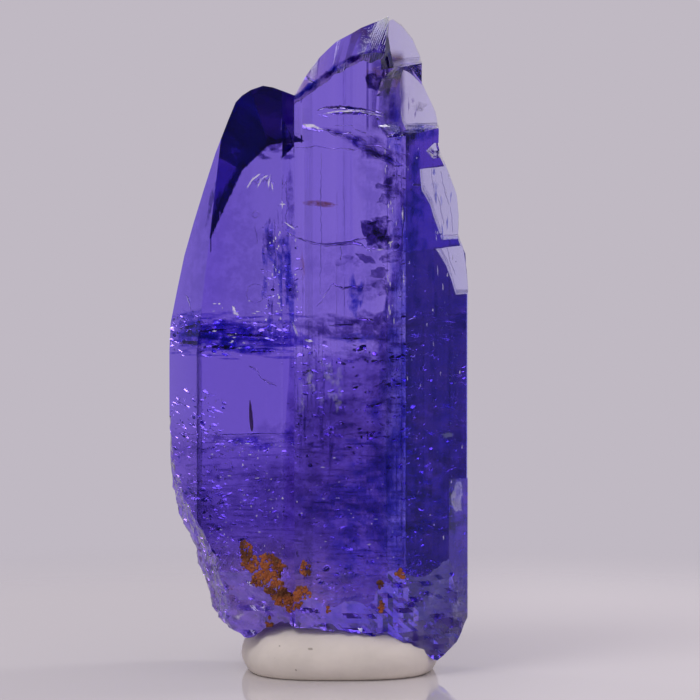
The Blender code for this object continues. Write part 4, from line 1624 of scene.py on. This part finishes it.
def build_veils():
    rnd = random.Random(settings("cracks").seed)
    crystal = bpy.data.objects["tanzanite"]
    meshes = {}
    for kind in FILMS:
        meshes[kind] = bmesh.new()
        meshes[kind].verts.layers.float.new("strength")
    for k, (kind, *values) in enumerate(VEILS):
        veil(meshes[kind], *values, seed=k * 3.1, rim_amount=0.8 if kind == "leaf" else 0.0)
    for kind, count, (x0, y0, x1, y1), wide, high, depth, strength in WISPS:
        for k in range(count):
            px, py = rnd.uniform(x0, x1), rnd.uniform(y0, y1)
            half, up = rnd.uniform(*wide), rnd.uniform(*high)
            away, turn = rnd.uniform(*depth), rnd.gauss(0, 3.0)
            amount, seed = rnd.uniform(*strength), rnd.uniform(0, 50)
            ends = [
                seen(px + a * half * 1.2, py + b * up, away, px)
                for a, b in ((-1, 0), (1, 0), (0, 1), (0, -1))
            ]
            if away < 0:
                fits = all(lies_on(crystal, end) for end in ends)
            else:
                fits = all(inside(crystal, end, 0.05) for end in ends)
            if fits:
                veil(meshes[kind], (px, py), half, up, turn, away, amount, seed)
    for kind, bm in meshes.items():
        rides(finish_mesh("veils_" + kind, bm, film_material(kind)))


# Patches of crust: centre in the picture, half width, half height
CRUST = (
    (246, 550, 6, 10), (251, 564, 8, 8), (261, 578, 10, 8), (272, 566, 11, 13),
    (277, 590, 11, 9), (288, 600, 14, 10), (303, 592, 8, 6), (306, 568, 6, 6),
    (401, 573, 5, 4), (380, 584, 3, 4), (381, 605, 3, 6), (328, 609, 2, 3), (270, 623, 3, 6),
)


def on_stone(crystal, px, py):
    """The point of the crystal's surface that shows at px, py, and which way it faces."""
    x = (px - MIDDLE_COLUMN) / POINTS_ACROSS
    tan = math.tan(settings("stage").elevation)
    z = (ZERO_ROW - py) / POINTS_UP
    start = Vector((x, -10.0, z + 10.0 * tan)) * MM
    hit, where, normal, _ = crystal.ray_cast(start, Vector((0.0, 1.0, -tan)).normalized())
    return (where / MM, normal) if hit else (None, None)


def build_crust():
    rnd = random.Random(5)
    crystal = bpy.data.objects["tanzanite"]
    points = []
    for px, py, wide, high in CRUST:
        for k in range(int(1.1 * wide * high)):
            angle, share = rnd.uniform(0, 2 * math.pi), rnd.uniform(0, 1.05) ** 0.5
            ragged = 1 + 0.4 * noise.noise(Vector((math.cos(angle) * 2, math.sin(angle) * 2, px * 0.3)))
            u = px + wide * share * ragged * math.cos(angle)
            where, normal = on_stone(crystal, u, py + high * share * ragged * math.sin(angle))
            if where is None:
                continue
            size = rnd.uniform(0.035, 0.12)
            turn = (rnd.uniform(0, 6.28), rnd.uniform(0, 6.28), rnd.uniform(0, 6.28))
            shape = (size * MM, size * MM, size * 0.6 * MM)
            points.append((tuple((where - normal * 0.01) * MM), turn, shape))
    crust = grown("iron_crust", points, scatter_tree("grain"), crust_material())
    return rides(crust)


def build_needle():
    """A thin dark rod sealed in the lower window."""
    low, high = seen(252.5, 432, 1.6), seen(250.5, 401, 1.6)
    rings = []
    for share, radius in ((0.0, 0.03), (0.12, 0.075), (0.5, 0.085), (0.8, 0.06), (1.0, 0.012)):
        middle = low.lerp(high, share)
        ring = []
        for k in range(6):
            angle = k * math.pi / 3
            ring.append(middle + Vector((radius * math.cos(angle), radius * math.sin(angle), 0.0)))
        rings.append(ring)
    n = Nodes("needle")
    shader = n.add("BsdfPrincipled")
    shader.inputs["Base Color"].default_value = (0.42, 0.28, 0.42, 1.0)
    shader.inputs["Roughness"].default_value = 0.6
    return rides(finish_mesh("needle", closed(rings), n.surface(shader)))


def build_putty():
    rings = (
        (0.915, 0.0), (0.950, 0.10), (0.975, 0.28), (0.995, 0.52), (1.0, 0.78), (0.995, 1.05),
        (0.975, 1.35), (0.94, 1.62), (0.88, 1.90), (0.80, 2.12), (0.70, 2.32), (0.56, 2.52),
        (0.40, 2.66), (0.22, 2.74),
    )
    bm = bmesh.new()
    loops, turns = [], 120
    for share, height in rings:
        loop = []
        for k in range(turns):
            t = 2 * math.pi * k / turns
            c, s = math.cos(t), math.sin(t)
            squarish = (abs(c) ** 2.5 + abs(s) ** 2.5) ** (-1 / 2.5)
            wobble = 1 + 0.012 * math.sin(3 * t + 0.7) + 0.008 * math.sin(5 * t)
            x = 0.95 + 4.60 * share * squarish * wobble * c
            y = 4.55 * share * squarish * wobble * s
            z = height
            if height > 0:
                p = Vector((x, y, z))
                swell = 0.05 * noise.noise(p * 0.8) + 0.02 * noise.noise(p * 2.4)
                x += swell * c * min(1.0, height * 2)
                y += swell * s * min(1.0, height * 2)
                z = min(z, base_height(x, y) + 0.12)
            loop.append(bm.verts.new((x, y, z)))
        loops.append(loop)
    for low, high in zip(loops, loops[1:]):
        for k in range(turns):
            n = (k + 1) % turns
            bm.faces.new((low[k], low[n], high[n], high[k]))
    bm.faces.new(list(reversed(loops[0])))
    peak = bm.verts.new((0.95, 0.0, min(2.75, base_height(0.95, 0.0) + 0.12)))
    for k in range(turns):
        bm.faces.new((loops[-1][k], loops[-1][(k + 1) % turns], peak))
    obj = finish_mesh("putty", bm, putty_material(), smooth=True)
    rides(obj)
    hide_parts("putty_pad")
    return obj


def build_world(s):
    """Plain backdrop for the camera and the floor. The stone itself sees a studio: a
    bright sweep behind, dimmer sides, a dark room in front, a soft box overhead."""
    world = bpy.data.worlds.new("studio")
    bpy.context.scene.world = world
    world.use_nodes = True
    n = Nodes("studio_nodes", tree=world.node_tree, output="ShaderNodeOutputWorld")
    x, y, z = n.split(n.add("TexCoord").outputs["Generated"])
    behind = n.span(y, -0.75, 0.25, s.front, 1.0)
    low = n.span(z, -0.35, -0.12, 0.9, 0.0)
    level = n.math("MAXIMUM", behind, low)
    high = n.span(z, 0.28, 0.50, 1.0, 0.45)
    level = n.product(level, high)
    rays = n.add("LightPath")
    over = n.product(n.span(z, 0.68, 0.78, 0.0, s.overhead), n.span(y, -0.3, 0.1))
    level = n.total(level, over)
    aside = n.span(n.math("ABSOLUTE", x), 0.25, 0.70, 1.0, 0.45)
    raised = n.span(z, 0.12, 0.45, 1.0, 0.5)
    mirrored = n.product(behind, n.product(aside, raised))
    mirrored = n.total(mirrored, n.product(over, 0.12))
    mirrored = n.math("MAXIMUM", mirrored, low)
    level = n.mix(rays.outputs["Is Transmission Ray"], mirrored, level)
    tint = n.add("VectorMath", operation="SCALE")
    n.link(level, tint.inputs["Scale"])
    plain = n.math("MAXIMUM", rays.outputs["Is Camera Ray"], rays.outputs["Is Diffuse Ray"])
    sweep = n.mix(rays.outputs["Is Transmission Ray"], tuple(s.backdrop), tuple(s.sweep))
    n.link(sweep, tint.inputs[0])
    colour = n.mix(plain, tint.outputs[0], tuple(s.backdrop))
    sky = n.add("Background")
    n.link(colour, sky.inputs["Color"])
    n.link(sky.outputs[0], n.out.inputs["Surface"])


def build_floor(s):
    bm = bmesh.new()
    bmesh.ops.create_circle(bm, cap_ends=True, segments=96, radius=400.0)
    floor = finish_mesh("floor", bm, None)
    n = Nodes("pale_floor")
    at = n.coords()
    length = n.add("VectorMath", operation="LENGTH")
    n.link(at, length.inputs[0])
    far = n.span(length.outputs["Value"], 0.030, 0.056)
    shader = n.add("BsdfPrincipled")
    x, _, _ = n.split(at)
    # Painted light: the floor is lighter towards the right
    bright = tuple(min(1.0, c * 1.23) for c in s.floor)
    n.link(n.mix(n.span(x, 0.0, 0.014), tuple(s.floor), bright), shader.inputs["Base Color"])
    shader.inputs["Roughness"].default_value = 0.015
    shader.inputs["IOR"].default_value = 1.4
    clear = n.add("BsdfTransparent")
    floor.data.materials.append(n.blended(far, shader, clear))


def build_stage():
    s = settings("stage")
    scene = bpy.context.scene
    scene.view_settings.view_transform = "Standard"
    scene.cycles.max_bounces = 32
    scene.cycles.transmission_bounces = 32
    scene.cycles.glossy_bounces = 16
    scene.cycles.transparent_max_bounces = 128
    build_world(s)
    build_floor(s)
    for name, where, size, power, colour in (
        ("key", (-0.12, -0.14, 0.26), 0.12, 0.27, (1.0, 0.98, 0.97)),
        ("left_rim", (-0.20, 0.16, 0.16), 0.07, 0.035, (1.0, 0.98, 1.0)),
        ("right_rim", (0.20, 0.10, 0.22), 0.07, 0.15, (1.0, 0.98, 1.0)),
    ):
        light = bpy.data.lights.new(name, "AREA")
        light.size = size
        light.energy = power
        light.color = colour
        lamp = new_object(name, light)
        lamp.location = where
        lamp.rotation_mode = "QUATERNION"
        aim = Vector((0.0, 0.0, 0.015)) - Vector(where)
        lamp.rotation_quaternion = aim.to_track_quat("-Z", "Y")
    data = bpy.data.cameras.new("camera")
    camera = new_object("camera", data)
    scene.camera = camera
    data.sensor_width = 36.0
    data.lens = 36.0 * s.distance / s.width
    data.clip_start, data.clip_end = 0.01, 5.0
    target = Vector((0.001434, 0.0, 0.01514))
    back = Vector((0.0, -math.cos(s.elevation), math.sin(s.elevation)))
    camera.location = target + back * s.distance
    camera.rotation_mode = "QUATERNION"
    camera.rotation_quaternion = (-back).to_track_quat("-Z", "Y")
    return camera


# Operators
class TANZANITE_OT_crystal(Operator):
    """Build the crystal: two striated individuals grown together, with their chips"""

    bl_idname = "tanzanite.crystal"
    bl_label = "Crystal"

    def execute(self, context):
        build_crystal()
        return {"FINISHED"}


class TANZANITE_OT_cracks(Operator):
    """Build the cracks and partings sealed in the crystal"""

    bl_idname = "tanzanite.cracks"
    bl_label = "Cracks"

    def execute(self, context):
        build_cracks()
        return {"FINISHED"}


class TANZANITE_OT_flakes(Operator):
    """Scatter the small flakes that cloud the foot of the crystal"""

    bl_idname = "tanzanite.flakes"
    bl_label = "Flakes"

    def execute(self, context):
        build_flakes()
        return {"FINISHED"}


class TANZANITE_OT_veils(Operator):
    """Lay the films in and on the crystal, which are stains, painted shade and painted highlights, and the
    needle
    """

    bl_idname = "tanzanite.veils"
    bl_label = "Veils"

    def execute(self, context):
        build_veils()
        build_needle()
        return {"FINISHED"}


class TANZANITE_OT_crust(Operator):
    """Grow the iron crust on the front of the foot"""

    bl_idname = "tanzanite.crust"
    bl_label = "Crust"

    def execute(self, context):
        build_crust()
        return {"FINISHED"}


class TANZANITE_OT_putty(Operator):
    """Build the lump of putty under the crystal"""

    bl_idname = "tanzanite.putty"
    bl_label = "Putty"

    def execute(self, context):
        build_putty()
        return {"FINISHED"}


class TANZANITE_OT_stage(Operator):
    """Set up the plain floor, backdrop, lamps and camera"""

    bl_idname = "tanzanite.stage"
    bl_label = "Stage"

    def execute(self, context):
        build_stage()
        return {"FINISHED"}


class TANZANITE_PT_panel(Panel):
    """Lists the pieces and their settings"""

    bl_idname = "TANZANITE_PT_panel"
    bl_label = "Tanzanite"
    bl_space_type = "VIEW_3D"
    bl_region_type = "UI"
    bl_category = "Tanzanite"

    def draw(self, context):
        for operator, name in ORDER:
            box = self.layout.box()
            box.operator(operator)
            group = getattr(context.scene, "tanzanite_" + name)
            for key in group.bl_rna.properties.keys():
                if key not in ("rna_type", "name"):
                    box.prop(group, key)


ORDER = (
    ("tanzanite.crystal", "crystal"),
    ("tanzanite.cracks", "cracks"),
    ("tanzanite.flakes", "cracks"),
    ("tanzanite.veils", "cracks"),
    ("tanzanite.crust", "crust"),
    ("tanzanite.putty", "putty"),
    ("tanzanite.stage", "stage"),
)
GROUPS = {
    "crystal": TanzaniteCrystalSettings,
    "cracks": TanzaniteCrackSettings,
    "crust": TanzaniteCrustSettings,
    "putty": TanzanitePuttySettings,
    "stage": TanzaniteStageSettings,
}
CLASSES = (
    *GROUPS.values(),
    TANZANITE_OT_crystal,
    TANZANITE_OT_cracks,
    TANZANITE_OT_flakes,
    TANZANITE_OT_veils,
    TANZANITE_OT_crust,
    TANZANITE_OT_putty,
    TANZANITE_OT_stage,
    TANZANITE_PT_panel,
)


def register():
    for cls in CLASSES:
        bpy.utils.register_class(cls)
    for name, group in GROUPS.items():
        setattr(bpy.types.Scene, "tanzanite_" + name, PointerProperty(type=group))


def unregister():
    for name in GROUPS:
        delattr(bpy.types.Scene, "tanzanite_" + name)
    for cls in reversed(CLASSES):
        bpy.utils.unregister_class(cls)


def main():
    register()
    for operator, _ in ORDER:
        area, action = operator.split(".")
        getattr(getattr(bpy.ops, area), action)()


if __name__ == "__main__":
    main()
